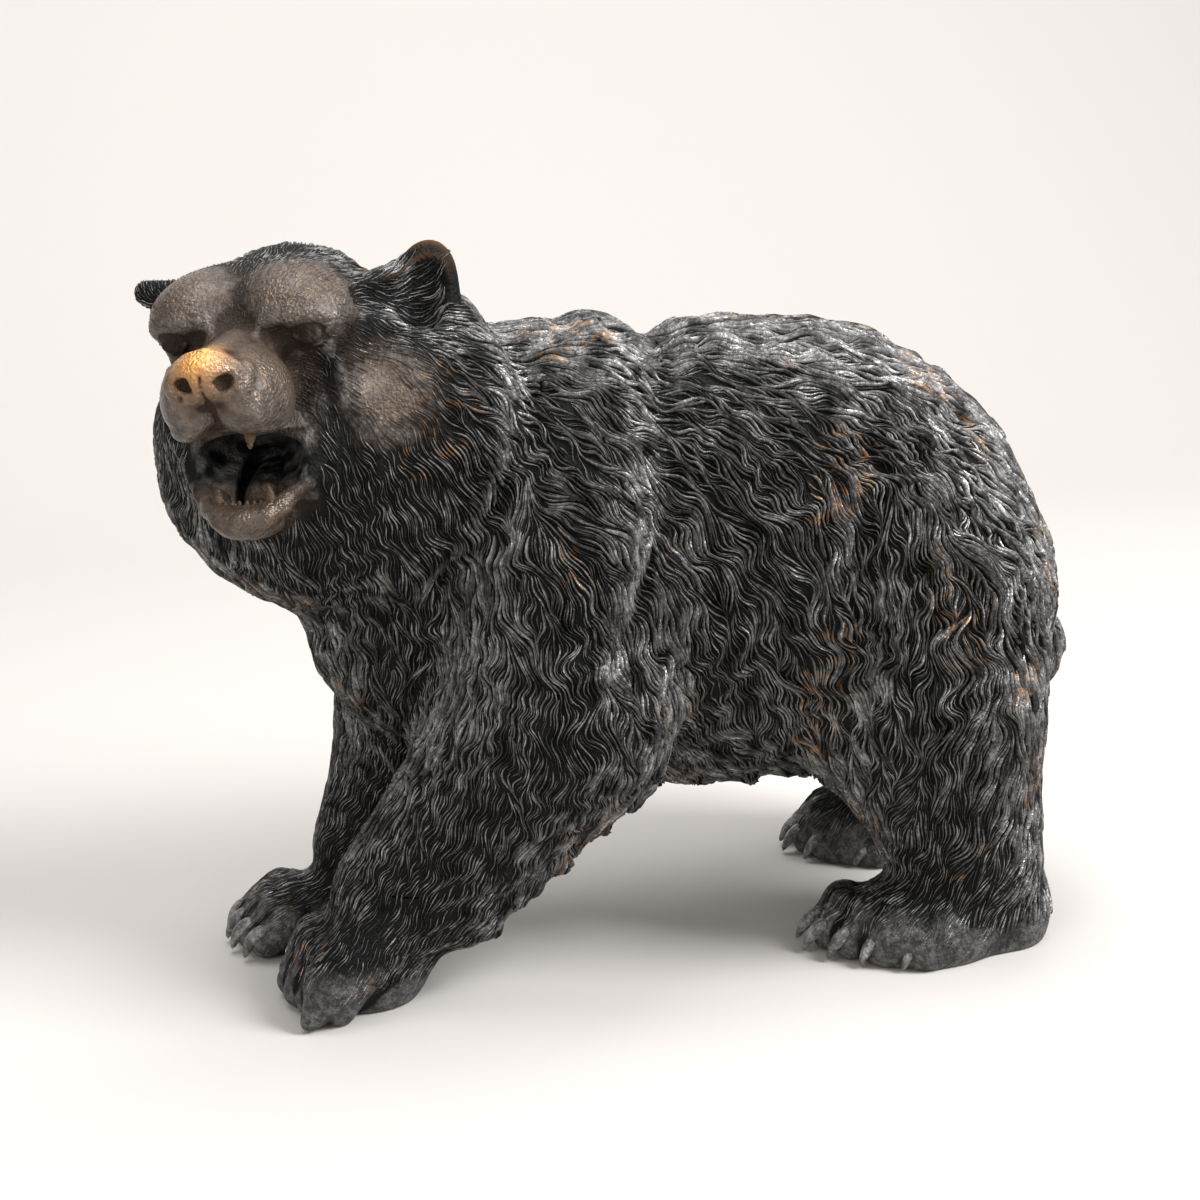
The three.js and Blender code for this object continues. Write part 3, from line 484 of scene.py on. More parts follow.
class Region:
    """A box, aligned with a frame, in which the field is sampled on a grid."""

    def __init__(self, shapes, at, low, high, step):
        self.at_frame = at
        self.low = np.array(low, float)
        self.step = step
        self.counts = np.ceil((np.array(high) - self.low) / step).astype(int) + 1
        self.values = np.full(self.counts, FAR, np.float32)
        for shape in shapes:
            self.add(shape)

    def coordinates(self, box):
        """The world's x, y and z at the grid points of a box of indices."""
        i, j, k = [self.low[c] + self.step * np.arange(s.start, s.stop) for c, s in enumerate(box)]
        axes = self.at_frame.axes
        return [
            (
                self.at_frame.origin[c]
                + (i * axes[0, c])[:, None, None]
                + (j * axes[1, c])[None, :, None]
                + (k * axes[2, c])[None, None, :]
            ).astype(np.float32)
            for c in range(3)
        ]

    def add(self, shape):
        middle = self.at_frame.local(shape.middle)
        reach = shape.reach + shape.blend + (0 if shape.cut else FAR)
        first = np.clip(np.floor((middle - reach - self.low) / self.step), 0, self.counts)
        last = np.clip(np.ceil((middle + reach - self.low) / self.step) + 1, 0, self.counts)
        if (first >= last).any():
            return
        box = tuple(slice(int(a), int(b)) for a, b in zip(first, last))
        distance = shape.distance(*self.coordinates(box))
        self.values[box] = melt(self.values[box], distance, shape)

    def emboss(self, line, width, height):
        """Raises the surface along a line of points, or sinks it where the height is negative."""
        corners = self.at_frame.local(line)
        first = np.floor((corners.min(axis=0) - 2 * width - self.low) / self.step).astype(int)
        last = np.ceil((corners.max(axis=0) + 2 * width - self.low) / self.step).astype(int)
        first = np.clip(first, 0, self.counts)
        last = np.clip(last, 0, self.counts)
        if (first >= last).any():
            return
        box = tuple(slice(a, b) for a, b in zip(first, last))
        places = self.coordinates(box)
        away = FAR
        for start, end in zip(line, line[1:]):
            _, _, distance = limb(WORLD, start, end, THREAD, THREAD)
            away = np.minimum(away, distance(*places))
        self.values[box] -= height * np.exp(-((away / width) ** 2) * 2)

    def cut_below(self, height):
        """Everything under this height is cut off flat."""
        z = self.coordinates(tuple(slice(0, int(n)) for n in self.counts))[2]
        self.values = np.maximum(self.values, height - z)

    def at(self, points):
        """Value and slope of the field at points between those of the grid."""
        q = (self.at_frame.local(points) - self.low) / self.step
        cell = np.clip(q.astype(int), 0, self.counts - 2)
        f = q - cell
        value = np.zeros(len(points))
        slope = np.zeros((len(points), 3))
        for corner in CORNERS:
            v = self.values[tuple((cell + corner).T)]
            w = np.where(corner, f, 1 - f)
            sign = np.where(corner, 1, -1)
            value += v * w[:, 0] * w[:, 1] * w[:, 2]
            slope[:, 0] += sign[0] * v * w[:, 1] * w[:, 2]
            slope[:, 1] += sign[1] * v * w[:, 0] * w[:, 2]
            slope[:, 2] += sign[2] * v * w[:, 0] * w[:, 1]
        return value, (slope / self.step) @ self.at_frame.axes

    def settle(self, points, rounds=3):
        """Slides points along the slope until they lie on the surface."""
        for _ in range(rounds):
            value, slope = self.at(points)
            steep = np.maximum((slope * slope).sum(axis=1), 0.1)
            points = points - slope * (value / steep)[:, None]
        return points

    def net(self):
        """Points and squares of the surface inside the box."""
        inside = self.values < 0
        cells = self.counts - 1
        total = np.zeros((cells.prod(), 3))
        count = np.zeros(cells.prod())
        squares = []
        for axis in range(3):
            step = np.eye(3, dtype=int)[axis]
            lower = [slice(None, -1) if a == axis else slice(None) for a in range(3)]
            upper = [slice(1, None) if a == axis else slice(None) for a in range(3)]
            edge = np.argwhere(inside[tuple(lower)] != inside[tuple(upper)])
            start = self.values[tuple(edge.T)]
            end = self.values[tuple((edge + step).T)]
            crossing = edge + (start / (start - end))[:, None] * step
            corners = []
            b, c = np.eye(3, dtype=int)[(axis + 1) % 3], np.eye(3, dtype=int)[(axis + 2) % 3]
            for offset in (0 * b, -b, -b - c, -c):
                cell = edge + offset
                known = ((cell >= 0) & (cell < cells)).all(axis=1)
                flat = np.where(known, np.ravel_multi_index(np.clip(cell, 0, cells - 1).T, cells), -1)
                corners.append(flat)
                for a in range(3):
                    total[:, a] += np.bincount(flat[known], crossing[known, a], len(total))
                count += np.bincount(flat[known], minlength=len(total))
            square = np.stack(corners, axis=1)
            square[start > 0] = square[start > 0][:, ::-1]
            squares.append(square[(square >= 0).all(axis=1)])
        used = np.flatnonzero(count)
        number = np.full(len(count), -1)
        number[used] = np.arange(len(used))
        points = self.low + self.step * total[used] / count[used, None]
        return self.settle(self.at_frame.place(points)), number[np.concatenate(squares)]


def cropped(points, squares, keep):
    """Only the squares whose points are all kept."""
    squares = squares[keep[squares].all(axis=1)]
    used = np.unique(squares)
    number = np.full(len(points), -1)
    number[used] = np.arange(len(used))
    return points[used], number[squares]


# %% [markdown]
# ## Folds of the coat
# The heavy coat falls in folds behind the ruff of the neck, behind the shoulder and in front of the
# haunch. Each fold is a broad sunk line with a raised one beside it, and the strands later run over both.


# %% Folds
RUFF_TOP = [[-62, -20, 318], [-54, -39, 300], [-60, -58, 278]]
RUFF = RUFF_TOP + [[-71, -68, 253], [-84, -67, 228], [-97, -55, 204]]
SHOULDER = [[16, -12, 309], [9, -55, 278], [-3, -74, 245], [-14, -91, 203], [-22, -96, 172]]
HAUNCH = [[118, -51, 280], [102, -72, 245], [97, -80, 210], [99, -83, 167], [93, -80, 134]]


def on_the_right(points):
    return [[x, -y, z] for x, y, z in points]


def both_sides(points):
    """A line that comes up the left side, crosses the back and goes down the right side."""
    return points[::-1] + on_the_right(points)


def shifted(points, ahead):
    return [[x - ahead, y, z] for x, y, z in points]


FOLDS = [
    Relief(both_sides(RUFF), 15, -7),
    Relief(both_sides(shifted(RUFF, 20)), 18, 5),
    Relief(both_sides(SHOULDER), 15, -6),
    Relief(both_sides(shifted(SHOULDER, 26)), 20, 4),
    Relief(HAUNCH, 15, -4),
    Relief(on_the_right(HAUNCH), 15, -4),
    Relief(shifted(HAUNCH, -26), 22, 3),
]
print(len(FOLDS), "folds")

# %% [markdown]
# ## Three grids
# The coat hides most of the body, so a coarse grid does there. The paws are bare and get a finer one, and
# the face, which everyone looks at first, gets the finest. A fold that runs from the body into the face is
# laid on the body once and then pressed into both grids, so that no step shows between them.

# %% Three grids
BODY_STEP = 4.0
PAW_STEP = 1.7
FACE_STEP = 1.0
PAW_TOP = 62.0
FACE_LOW = np.array([-28.0, -76.0, -95.0])
FACE_HIGH = np.array([112.0, 92.0, 84.0])
LAYING = 12  # rounds that bring a line to the surface

body = Region(SHAPES, WORLD, [-250, -125, -12], [260, 125, 372], BODY_STEP)
paws = Region(SHAPES, WORLD, [-250, -125, -6], [260, 125, PAW_TOP], PAW_STEP)
face = Region(SHAPES, HEAD, FACE_LOW, FACE_HIGH, FACE_STEP)
for region in (body, paws):
    region.cut_below(0)
for fold in FOLDS:
    line = body.settle(np.array(fold.points, float), LAYING)
    for region in (body, face):
        region.emboss(line, fold.width, fold.height)
for detail in face_details():
    line = face.settle(HEAD.place(np.array(detail.points, float)), LAYING)
    face.emboss(line, detail.width, detail.height)
print("grids of", body.counts.prod(), paws.counts.prod(), "and", face.counts.prod(), "points")

# %% [markdown]
# ## Three nets
# Each grid gives its net. The body's net is cut back where the face's and the paws' begin, and it runs on
# a few millimetres under them, where the fur hides the overlap.


# %% Three nets
SEAM = 4.0  # how far neighbouring nets overlap


def in_face(points, inset=0.0):
    q = HEAD.local(points)
    return ((q > FACE_LOW + inset) & (q < FACE_HIGH - inset)).all(axis=1)


body_points, body_squares = body.net()
outside = ~in_face(body_points, SEAM) & (body_points[:, 2] > PAW_TOP - SEAM)
body_points, body_squares = cropped(body_points, body_squares, outside)
paw_points, paw_squares = paws.net()
face_points, face_squares = face.net()
print("squares:", len(body_squares), "body,", len(paw_squares), "paws,", len(face_squares), "face")

# %% [markdown]
# ## Meshes
# A piece is put together from parts, each with its points, its faces and its attributes. `crest` says how
# far the bronze is rubbed and how much painted sheen it gets, with painted shade where it is low, `rub`
# where it is bare gold and `warm` where it is brown. They travel with the points, so one material serves
# the whole bear, and the colours, painted sheen and shade among them, can follow the relief without any
# picture.


# %% Mesh
ATTRIBUTES = ("crest", "rub", "warm")


def make_piece(name, parts, material):
    """One object from parts of (points, faces, attributes), faces as an array of triangles or squares."""
    points = np.concatenate([p for p, _, _ in parts])
    starts = np.cumsum([0] + [len(p) for p, _, _ in parts])
    corners = np.concatenate([(f + s).ravel() for (_, f, _), s in zip(parts, starts)])
    sizes = np.concatenate([np.full(len(f), f.shape[1]) for _, f, _ in parts])
    mesh = bpy.data.meshes.new(name)
    mesh.vertices.add(len(points))
    mesh.vertices.foreach_set("co", ((points - MIDDLE) / 1000).astype(np.float32).ravel())
    mesh.loops.add(len(corners))
    mesh.loops.foreach_set("vertex_index", corners.astype(np.int32))
    mesh.polygons.add(len(sizes))
    mesh.polygons.foreach_set("loop_start", (np.cumsum(sizes) - sizes).astype(np.int32))
    mesh.update(calc_edges=True)
    mesh.validate()
    mesh.shade_smooth()
    for attribute in ATTRIBUTES:
        layer = mesh.attributes.new(attribute, "FLOAT", "POINT")
        values = np.concatenate([np.broadcast_to(a.get(attribute, 0), len(p)) for p, _, a in parts])
        layer.data.foreach_set("value", values.astype(np.float32))
    mesh.materials.append(material)
    piece = bpy.data.objects.new(name, mesh)
    bpy.context.scene.collection.objects.link(piece)
    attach(piece, "root")
    print(name, "has", int((sizes - 2).sum()), "triangles")
    return piece


# %% [markdown]
# ## Claws and teeth
# Claws and teeth are too small and sharp for the grids, so they are horns modelled one by one: a ring of
# points is carried along a bowed path and shrinks to a tip. On the left forepaw the claws are part of the
# bent toes, as in the photo.


# %% Claws and teeth
HORN_SIDES = 10
HORN_RINGS = 9
LAST_RING = 0.94  # where the last ring lies, as a share of the way to the tip
CLAW_CREST = {"crest": 0.6}
TOOTH_CREST = {"crest": 0.3, "warm": 0.8, "rub": 0.04}


def horn(at, root, tip, bow, radius, finish_and_sheen):
    """A bowed horn from a root to a tip, both in a frame, as points, faces and attributes."""
    start, end = at.place(root), at.place(tip)
    bend = at.turn(bow)
    t = np.linspace(0, LAST_RING, HORN_RINGS)[:, None]
    spine = start * (1 - t) + end * t + bend * 4 * t * (1 - t)
    along = unit(end - start + bend * 4 * (1 - 2 * t))
    across = unit(np.cross(along, [0.13, 0.05, 0.99]))
    rise = np.cross(across, along)
    r = radius * (1 - 0.72 * t**2 - 0.1 * t)
    turns = 2 * np.pi * np.arange(HORN_SIDES) / HORN_SIDES
    rings = [spine + r * (across * math.cos(a) + rise * math.sin(a)) for a in turns]
    points = np.concatenate([np.stack(rings, axis=1).reshape(-1, 3), [end]])
    faces = []
    for ring in range(HORN_RINGS - 1):
        for i in range(HORN_SIDES):
            a, b = ring * HORN_SIDES + i, ring * HORN_SIDES + (i + 1) % HORN_SIDES
            faces += [[a, b + HORN_SIDES, b], [a, a + HORN_SIDES, b + HORN_SIDES]]
    last = (HORN_RINGS - 1) * HORN_SIDES
    faces += [[last + i, len(points) - 1, last + (i + 1) % HORN_SIDES] for i in range(HORN_SIDES)]
    return points, np.array(faces), finish_and_sheen


def claws(at, toes, side, length):
    """One claw for each toe, from the knuckle's front down to the ground."""
    found = []
    for out, ahead, _ in toes:
        root = [ahead - 6, side * out, 13]
        tip = [ahead + length, side * out * 1.06, 1.5]
        found.append(horn(at, root, tip, [1.5, 0, 3.5], 4.8, CLAW_CREST))
    return found


def tooth(root, tip, bow, radius):
    return horn(HEAD, root, tip, [bow, 0, 0], radius, TOOTH_CREST)


INCISORS = [-8.5, -5.2, -1.8, 1.8, 5.2, 8.5]  # how far each lies to the left
teeth = [tooth([56, left, -57], [57, left * 0.97, -48.5], 0.5, 2.5) for left in INCISORS]
for side in (-1, 1):
    teeth.append(tooth([52, 12.5 * side, -55], [56, 11.5 * side, -42.5], 1.5, 3.8))
    teeth.append(tooth([76, 13 * side, -16], [78, 12 * side, -24 - 3 * side], 1.5, 3.2))
all_claws = [
    *claws(FAR_FORE, FORE_TOES, -1, 6),
    *claws(NEAR_HIND, NEAR_HIND_TOES, 1, 9),
    *claws(FAR_HIND, FAR_HIND_TOES, -1, 9),
]
print(len(teeth), "teeth and", len(all_claws), "claws")

# %% [markdown]
# ## The lie of the fur
# Fur is combed by marks set on the left side of the bear and mirrored to the right. A mark says which way
# the hair points there, how long it is in millimetres and how strongly it waves, in degrees, and it is
# felt within its reach.

# %% Combing
# Each row: the place, the way the hair points there, its length and its wave
BODY_COMB = [
    [[-80, 0, 330], [1, 0, -0.1], 26, 22],
    [[-20, 0, 315], [0.95, -0.1, -0.3], 28, 24],
    [[60, 0, 312], [0.95, -0.15, -0.25], 30, 24],
    [[140, 0, 292], [0.85, -0.1, -0.5], 30, 26],
    [[-30, -55, 280], [0.75, 0, -0.6], 30, 28],
    [[-85, -60, 270], [0.35, -0.1, -0.95], 28, 26],
    [[-112, -65, 245], [0.4, -0.3, -0.85], 26, 28],
    [[-170, -10, 205], [0.2, 0, -1], 24, 26],
    [[-130, -20, 165], [0.1, -0.1, -1], 24, 26],
    [[-30, -75, 225], [0.5, 0, -0.85], 28, 30],
    [[-40, -90, 170], [0.1, 0, -1], 20, 30],
    [[5, -80, 120], [0.55, 0, -0.85], 24, 30],
    [[-100, -70, 120], [-0.55, 0, -0.8], 20, 26],
    [[-75, -85, 95], [-0.15, 0, -1], 20, 26],
    [[-125, -60, 60], [-0.3, 0, -0.95], 13, 18],
    [[50, -80, 245], [0.65, 0, -0.8], 32, 30],
    [[50, -80, 160], [0.45, 0, -0.9], 32, 32],
    [[50, -40, 88], [0.7, -0.1, -0.6], 26, 26],
    [[140, -80, 205], [0.15, 0, -1], 34, 36],
    [[105, -90, 140], [-0.1, 0, -1], 30, 34],
    [[150, -90, 85], [-0.2, 0, -0.97], 22, 24],
    [[215, -30, 200], [0.5, 0, -0.87], 28, 28],
    [[205, -60, 90], [0.15, 0, -1], 20, 22],
    [[238, 0, 150], [0.4, 0, -0.9], 26, 26],
    [[-150, -35, 28], [-0.9, 0, -0.4], 8, 12],
    [[-125, -45, 20], [-0.5, -0.2, -0.8], 9, 12],
    [[110, -60, 28], [-0.9, 0, -0.4], 8, 12],
    [[160, -75, 28], [-0.5, -0.2, -0.8], 10, 12],
]
HEAD_COMB = [
    [[70, 8, 14], [-1, 0.3, 0.2], 3, 8],
    [[50, 10, 34], [-0.6, 0.3, 0.75], 4, 10],
    [[36, 24, 52], [-0.85, 0.3, 0.45], 6, 12],
    [[5, 20, 58], [-1, 0.1, 0], 9, 14],
    [[-25, 5, 62], [-1, 0, -0.1], 16, 18],
    [[-5, 50, 25], [-0.8, 0.3, -0.5], 12, 18],
    [[20, 52, 0], [-0.7, 0.3, -0.6], 5, 10],
    [[12, 50, -22], [-0.6, 0.2, -0.75], 9, 16],
    [[-10, 60, -20], [-0.7, 0.3, -0.7], 22, 26],
    [[15, 40, -50], [-0.4, 0.2, -0.85], 16, 22],
    [[30, 15, -75], [-0.5, 0.1, -0.8], 14, 20],
    [[0, 25, -80], [-0.4, 0.1, -0.9], 20, 26],
    [[-14, 70, 55], [-0.4, 0.2, 0.9], 8, 10],
]
BODY_REACH = 42.0
HEAD_REACH = 17.0
CombMark = namedtuple("CombMark", "at way length wave reach")


def comb_marks(frame_of, rows, reach):
    """The marks of both sides from the rows of the left side."""
    marks = []
    for at, way, length, wave in rows:
        for side in (1, -1):
            mirror = np.array([1, side, 1])
            place = frame_of.place(np.array(at) * mirror)
            marks.append(CombMark(place, frame_of.turn(unit(way) * mirror), length, wave, reach))
    return marks


MARKS = comb_marks(WORLD, BODY_COMB, BODY_REACH) + comb_marks(HEAD, HEAD_COMB, HEAD_REACH)
print(len(MARKS), "comb marks")


def combed(points):
    """The way, length and wave of the fur at points."""
    way = np.zeros((len(points), 3))
    length = np.zeros(len(points))
    wave = np.zeros(len(points))
    total = np.zeros(len(points))
    for mark in MARKS:
        away = ((points - mark.at) ** 2).sum(axis=1)
        pull = np.exp(-away / (2 * mark.reach**2)) * (BODY_REACH / mark.reach) ** 2 + 1e-9
        way += pull[:, None] * mark.way
        length += pull * mark.length
        wave += pull * mark.wave
        total += pull
    return unit(way), length / total, wave / total


# %% [markdown]
# ## Ripples
# Neighbouring hairs wave together, and worn places come in patches. Both follow the same kind of noise: a
# few waves that run through space in all directions, drawn from a seed so that each run gives the same
# bear.


# %% Ripples
WAVES = 14


def ripple(points, wavelength, seed):
    """Smooth noise of about unit strength."""
    draw = np.random.default_rng(seed)
    ways = unit(draw.normal(size=(WAVES, 3))) * draw.uniform(0.7, 1.4, (WAVES, 1))
    phases = draw.uniform(0, 2 * np.pi, WAVES)
    return np.sin(points @ ways.T * (2 * np.pi / wavelength) + phases).sum(axis=-1) / math.sqrt(WAVES / 2)


sample = ripple(face_points, 20, 7)
print("a ripple over the face runs from", sample.min().round(2), "to", sample.max().round(2))

# %% [markdown]
# ## Paths of the strands
# A strand starts at a point on the skin and walks along it. At each station it takes the combed way,
# swings to the side by the wave of the fur, takes a step and slides back to the surface.


# %% Paths of the strands
WAVELENGTH = 21.0  # of the waves in the hair


def field_at(points):
    """The finest field there is at each point."""
    value, slope = body.at(points)
    fine = in_face(points, 1.0)
    if fine.any():
        value[fine], slope[fine] = face.at(points[fine])
    low = points[:, 2] < PAW_TOP - 2
    if low.any():
        value[low], slope[low] = paws.at(points[low])
    return value, slope


def settled(points, rounds=2):
    """Points slid to the surface in the finest field."""
    for _ in range(rounds):
        value, slope = field_at(points)
        steep = np.maximum((slope * slope).sum(axis=1), 0.1)
        points = points - slope * (value / steep)[:, None]
    return points


def walk(starts, scale, stations):
    """Strands from their starts, as places, normals and lengths."""
    at = settled(starts)
    _, length, wave = combed(at)
    length = length * scale
    places = []
    normals = []
    for _ in range(stations):
        _, slope = field_at(at)
        normal = unit(slope)
        way, _, _ = combed(at)
        along = unit(way - normal * (way * normal).sum(axis=1, keepdims=True))
        side = np.cross(normal, along)
        beat = 2 * np.pi * (at * way).sum(axis=1) / WAVELENGTH + 3 * ripple(at, 50, 1)
        swing = np.radians(wave) * (0.85 * np.sin(beat) + 0.5 * ripple(at, 16, 2))
        along = along * np.cos(swing)[:, None] + side * np.sin(swing)[:, None]
        places.append(at)
        normals.append(normal)
        at = settled(at + along * (length / stations)[:, None], 1)
    return np.stack(places, axis=1), np.stack(normals, axis=1), length


_, back_length, _ = combed(np.array([[20.0, 0.0, 315.0]]))
print("hair on the back is", back_length.round(1)[0], "mm long")

# %% [markdown]
# ## Where no hair grows
# The nose, the lips, the inside of the mouth and of the near ear, the dome of the cheek and the soles are
# bare. Strands neither start nor end there.


# %% Bare places
CHEEK = np.array([16, 52, -8])  # a smooth dome without hair
GAPE = np.array([46, 0, -33])  # the middle of the open mouth
GAPE_RADII = np.array([36, 28.5, 18])
GAPE_TIP = [0.9, 0.44]  # cosine and sine of its slope


def bare(points):
    """True where no strand grows. f, l and u are how far ahead, left and up a point lies in the head."""
    q = HEAD.local(points)
    f, l, u = q.T
    nose = (f > 84) & (u > -30)
    bridge = (f > 48) & (np.abs(l) < 9) & (u > 5)
    eye = (f > 40) & (np.abs(l) > 23) & (np.abs(l) < 39) & (np.abs(u - 22) < 7)
    lips = (f > 34) & (np.abs(l) < 31) & (u < -11) & (u > -66)
    c, s = GAPE_TIP
    deep, high = (f - GAPE[0]) * c - (u - GAPE[2]) * s, (f - GAPE[0]) * s + (u - GAPE[2]) * c
    gape = (deep / GAPE_RADII[0]) ** 2 + (l / GAPE_RADII[1]) ** 2 + (high / GAPE_RADII[2]) ** 2 < 1
    throat = (f > -5) & (np.abs(l) < 20) & (u < -30) & (u > -56)
    dome = np.linalg.norm((q - CHEEK) / [17, 20, 17], axis=1) < 0.9
    toes = points[:, 2] < 12
    ear = (u > 60) & (l > 50) | (l > 82) & (u > 35)
    return nose | bridge | eye | lips | gape | throat | dome | toes | ear


print("bare share of the face:", bare(face_points).mean().round(2))

# %% [markdown]
# ## Strands laid side by side
# In the bronze each lock is cut beside the last one, and a dark groove stays between them. So the strands
# are laid one by one: each marks the small cells of space that it runs through, and one that would run
# over marked cells is dropped. Long strands come first, and shorter ones then fill what they left open.


# %% Strands laid side by side
CELL = 0.8
GRID_LOW = np.array([-262.0, -137.0, -20.0])
GRID_SIZE = np.array([675, 345, 513])
FACE_SHARE = 0.2
PAW_SHARE = 0.12
Pass = namedtuple("Pass", "scale starts crowding stations")
PASSES = [Pass(0.9, 105000, 0.25, 10), Pass(0.6, 80000, 0.35, 8), Pass(0.35, 70000, 0.35, 6)]
taken = np.zeros(GRID_SIZE.prod(), bool)


def scattered(points, squares, count, rng):
    """Points scattered evenly over a net."""
    a, b, c, d = [points[squares[:, i]] for i in range(4)]
    area = np.linalg.norm(np.cross(c - a, d - b), axis=1)
    pick = rng.choice(len(squares), count, p=area / area.sum())
    u, v = rng.random((2, count, 1))
    return (a[pick] * (1 - u) + b[pick] * u) * (1 - v) + (d[pick] * (1 - u) + c[pick] * u) * v


def spread(places, crowding):
    """Numbers of the strands that run clear of those laid before them."""
    cells = ((places - GRID_LOW) / CELL).astype(int)
    flat = np.ravel_multi_index(np.moveaxis(cells, -1, 0), GRID_SIZE)
    row = GRID_SIZE[2]
    sheet = GRID_SIZE[1] * row
    ball = np.array([0, 1, -1, row, -row, sheet, -sheet])
    kept = []
    for number, path in enumerate(flat):
        if taken[path].mean() <= crowding:
            taken[(path[:, None] + ball).ravel()] = True
            kept.append(number)
    return np.array(kept)


rng = np.random.default_rng(11)
laid = []
for scale, count, crowding, stations in PASSES:
    starts = np.concatenate([
        scattered(body_points, body_squares, int(count * (1 - FACE_SHARE)), rng),
        scattered(face_points, face_squares, int(count * FACE_SHARE), rng),
        scattered(paw_points, paw_squares, int(count * PAW_SHARE), rng),
    ])
    starts = starts[~bare(starts)]
    rng.shuffle(starts)
    places, normals, length = walk(starts, scale, stations)
    kept = spread(places, crowding)
    kept = kept[~bare(places[kept, -1])]
    laid.append((places[kept], normals[kept], length[kept]))
    print(len(kept), "strands laid of", len(starts))

# %% [markdown]
# ## The shape of a strand
# A strand is a ridge: at each station it has a left foot, a crest and a right foot, and it ends in a
# raised tip. The feet are sunk in the skin, so no gap shows. Hair particles would look softer than cut
# wax, and they would be lost when the bear is exported.


# %% Shape of a strand
FULL_LENGTH = 26  # a strand of this length has its full width and height
SUNK = 0.8  # how deep the feet lie in the skin
HEIGHT = 2.1


def strand_faces(stations):
    """The triangles of one strand, two strips along its crest and two more that close the tip."""
    faces = []
    for station in range(stations - 1):
        a = 3 * station
        for i in (0, 1):
            faces += [[a + i, a + i + 1, a + i + 4], [a + i, a + i + 4, a + i + 3]]
    last = 3 * (stations - 1)
    return np.array(faces + [[last, last + 1, last + 3], [last + 1, last + 2, last + 3]])


def shape_strands(places, normals, length, rng):
    """Points and faces of strands along their paths, and each point's crest: a painted sheen on the crest
    and painted shade at the feet.
    """
    count, stations = places.shape[:2]
    along = unit(np.gradient(places, axis=1))
    side = unit(np.cross(normals, along))
    t = np.linspace(0, 1, stations)[None, :, None]
    size = np.clip(length / FULL_LENGTH, 0.15, 1.1)[:, None, None]
    width = (0.5 + 1.35 * size) * rng.uniform(0.8, 1.25, (count, 1, 1))
    height = HEIGHT * size**1.4 * rng.uniform(0.7, 1.3, (count, 1, 1))
    lift = (ripple(places, 22, 3) + 0.9)[..., None] * size**1.5
    swell = 0.45 + 0.55 * np.sin(np.pi * np.minimum(t / 0.9, 1) ** 0.8)
    rise = 0.2 + 0.8 * np.sin(np.pi * 0.5 * np.minimum(t / 0.4, 1))
    w = width * swell * (1 - 0.8 * t**3)
    h = height * rise * (1 - 0.4 * t**4) + lift * t
    skew = rng.uniform(-0.25, 0.25, (count, 1, 1))
    left = places - side * w * 0.5 - normals * SUNK
    right = places + side * w * 0.5 - normals * SUNK
    crest = places + side * w * skew + normals * h
    reach = (length / stations * 0.9)[:, None]
    tip = places[:, -1] + along[:, -1] * reach + normals[:, -1] * h[:, -1] * 0.55
    ridges = np.stack([left, crest, right], axis=2).reshape(count, -1, 3)
    points = np.concatenate([ridges, tip[:, None]], axis=1)
    per = points.shape[1]
    faces = strand_faces(stations)[None] + (per * np.arange(count))[:, None, None]
    # The painted sheen of each strand's crest, varied at random and in patches.
    shine = rng.uniform(0.45, 1, (count, 1)) * np.clip(0.85 + 0.15 * ripple(places, 20, 3), 0.4, 1)
    crests = np.zeros((count, per))
    crests[:, 1:-1:3] = shine
    crests[:, -1] = shine[:, -1]
    return points.reshape(-1, 3), faces.reshape(-1, 3), crests.ravel()


print(len(strand_faces(PASSES[0].stations)), "triangles in each long strand")

# %% [markdown]
# ## Helpers for nodes
# A material is a net of nodes. Three helpers keep it readable: one adds a node with its values, one mixes
# two colours, and one maps a range of values to another.


# %% Nodes
def node(tree, kind, place, **values):
    """A node with its values set, each by the name of a socket or of a setting."""
    made = tree.nodes.new(kind)
    made.location = place
    for key, value in values.items():
        if key in made.inputs:
            made.inputs[key].default_value = value
        else:
            setattr(made, key, value)
    return made


def mixed(tree, place, factor, a, b):
    """A colour between a and b, each a socket or a plain colour."""
    made = node(tree, "ShaderNodeMix", place, data_type="RGBA")
    sockets = [s for s in made.inputs if s.enabled]
    for socket, value in zip(sockets, (factor, a, b)):
        if isinstance(value, bpy.types.NodeSocket):
            tree.links.new(value, socket)
        else:
            socket.default_value = value
    return [s for s in made.outputs if s.enabled][0]


def ramp(tree, place, value, low, high, start, end):
    """Maps a value from low..high to start..end."""
    made = node(tree, "ShaderNodeMapRange", place)
    for name, number in zip(("From Min", "From Max", "To Min", "To Max"), (low, high, start, end)):
        made.inputs[name].default_value = number
    tree.links.new(value, made.inputs["Value"])
    return made.outputs["Result"]


# %% [markdown]
# ## Patina
# The bronze was darkened to a near-black brown, waxed, and rubbed back where a hand would touch it. The
# grooves are black and matte, partly patina and partly painted shade, the crests take a painted grey sheen
# over the rubbed bronze, the face is browner, and gold shows on the nose and in flecks of the coat. All of
# it is mixed from the attributes and two fine noises: `mottle` breaks up the painted sheen, and `grain`
# gives the skin of the casting its small dents.

# %% Patina
# Groove colours: patina in the hollows and painted shade. Crest colours: rubbed bronze and a painted sheen.
BLACK_GROOVE = (0.004, 0.004, 0.004, 1)
BROWN_GROOVE = (0.030, 0.019, 0.013, 1)
GREY_CREST = (0.46, 0.45, 0.44, 1)
BROWN_CREST = (0.150, 0.106, 0.074, 1)
GOLD = (0.72, 0.35, 0.11, 1)


def attribute(tree, place, name):
    return node(tree, "ShaderNodeAttribute", place, attribute_name=name).outputs["Fac"]


def noise(tree, place, scale, detail, roughness):
    """Fine noise that is fixed to the bear."""
    where = node(tree, "ShaderNodeTexCoord", (place[0] - 200, place[1])).outputs["Object"]
    made = node(tree, "ShaderNodeTexNoise", place, Scale=scale, Detail=detail, Roughness=roughness)
    tree.links.new(where, made.inputs["Vector"])
    return made.outputs["Fac"]


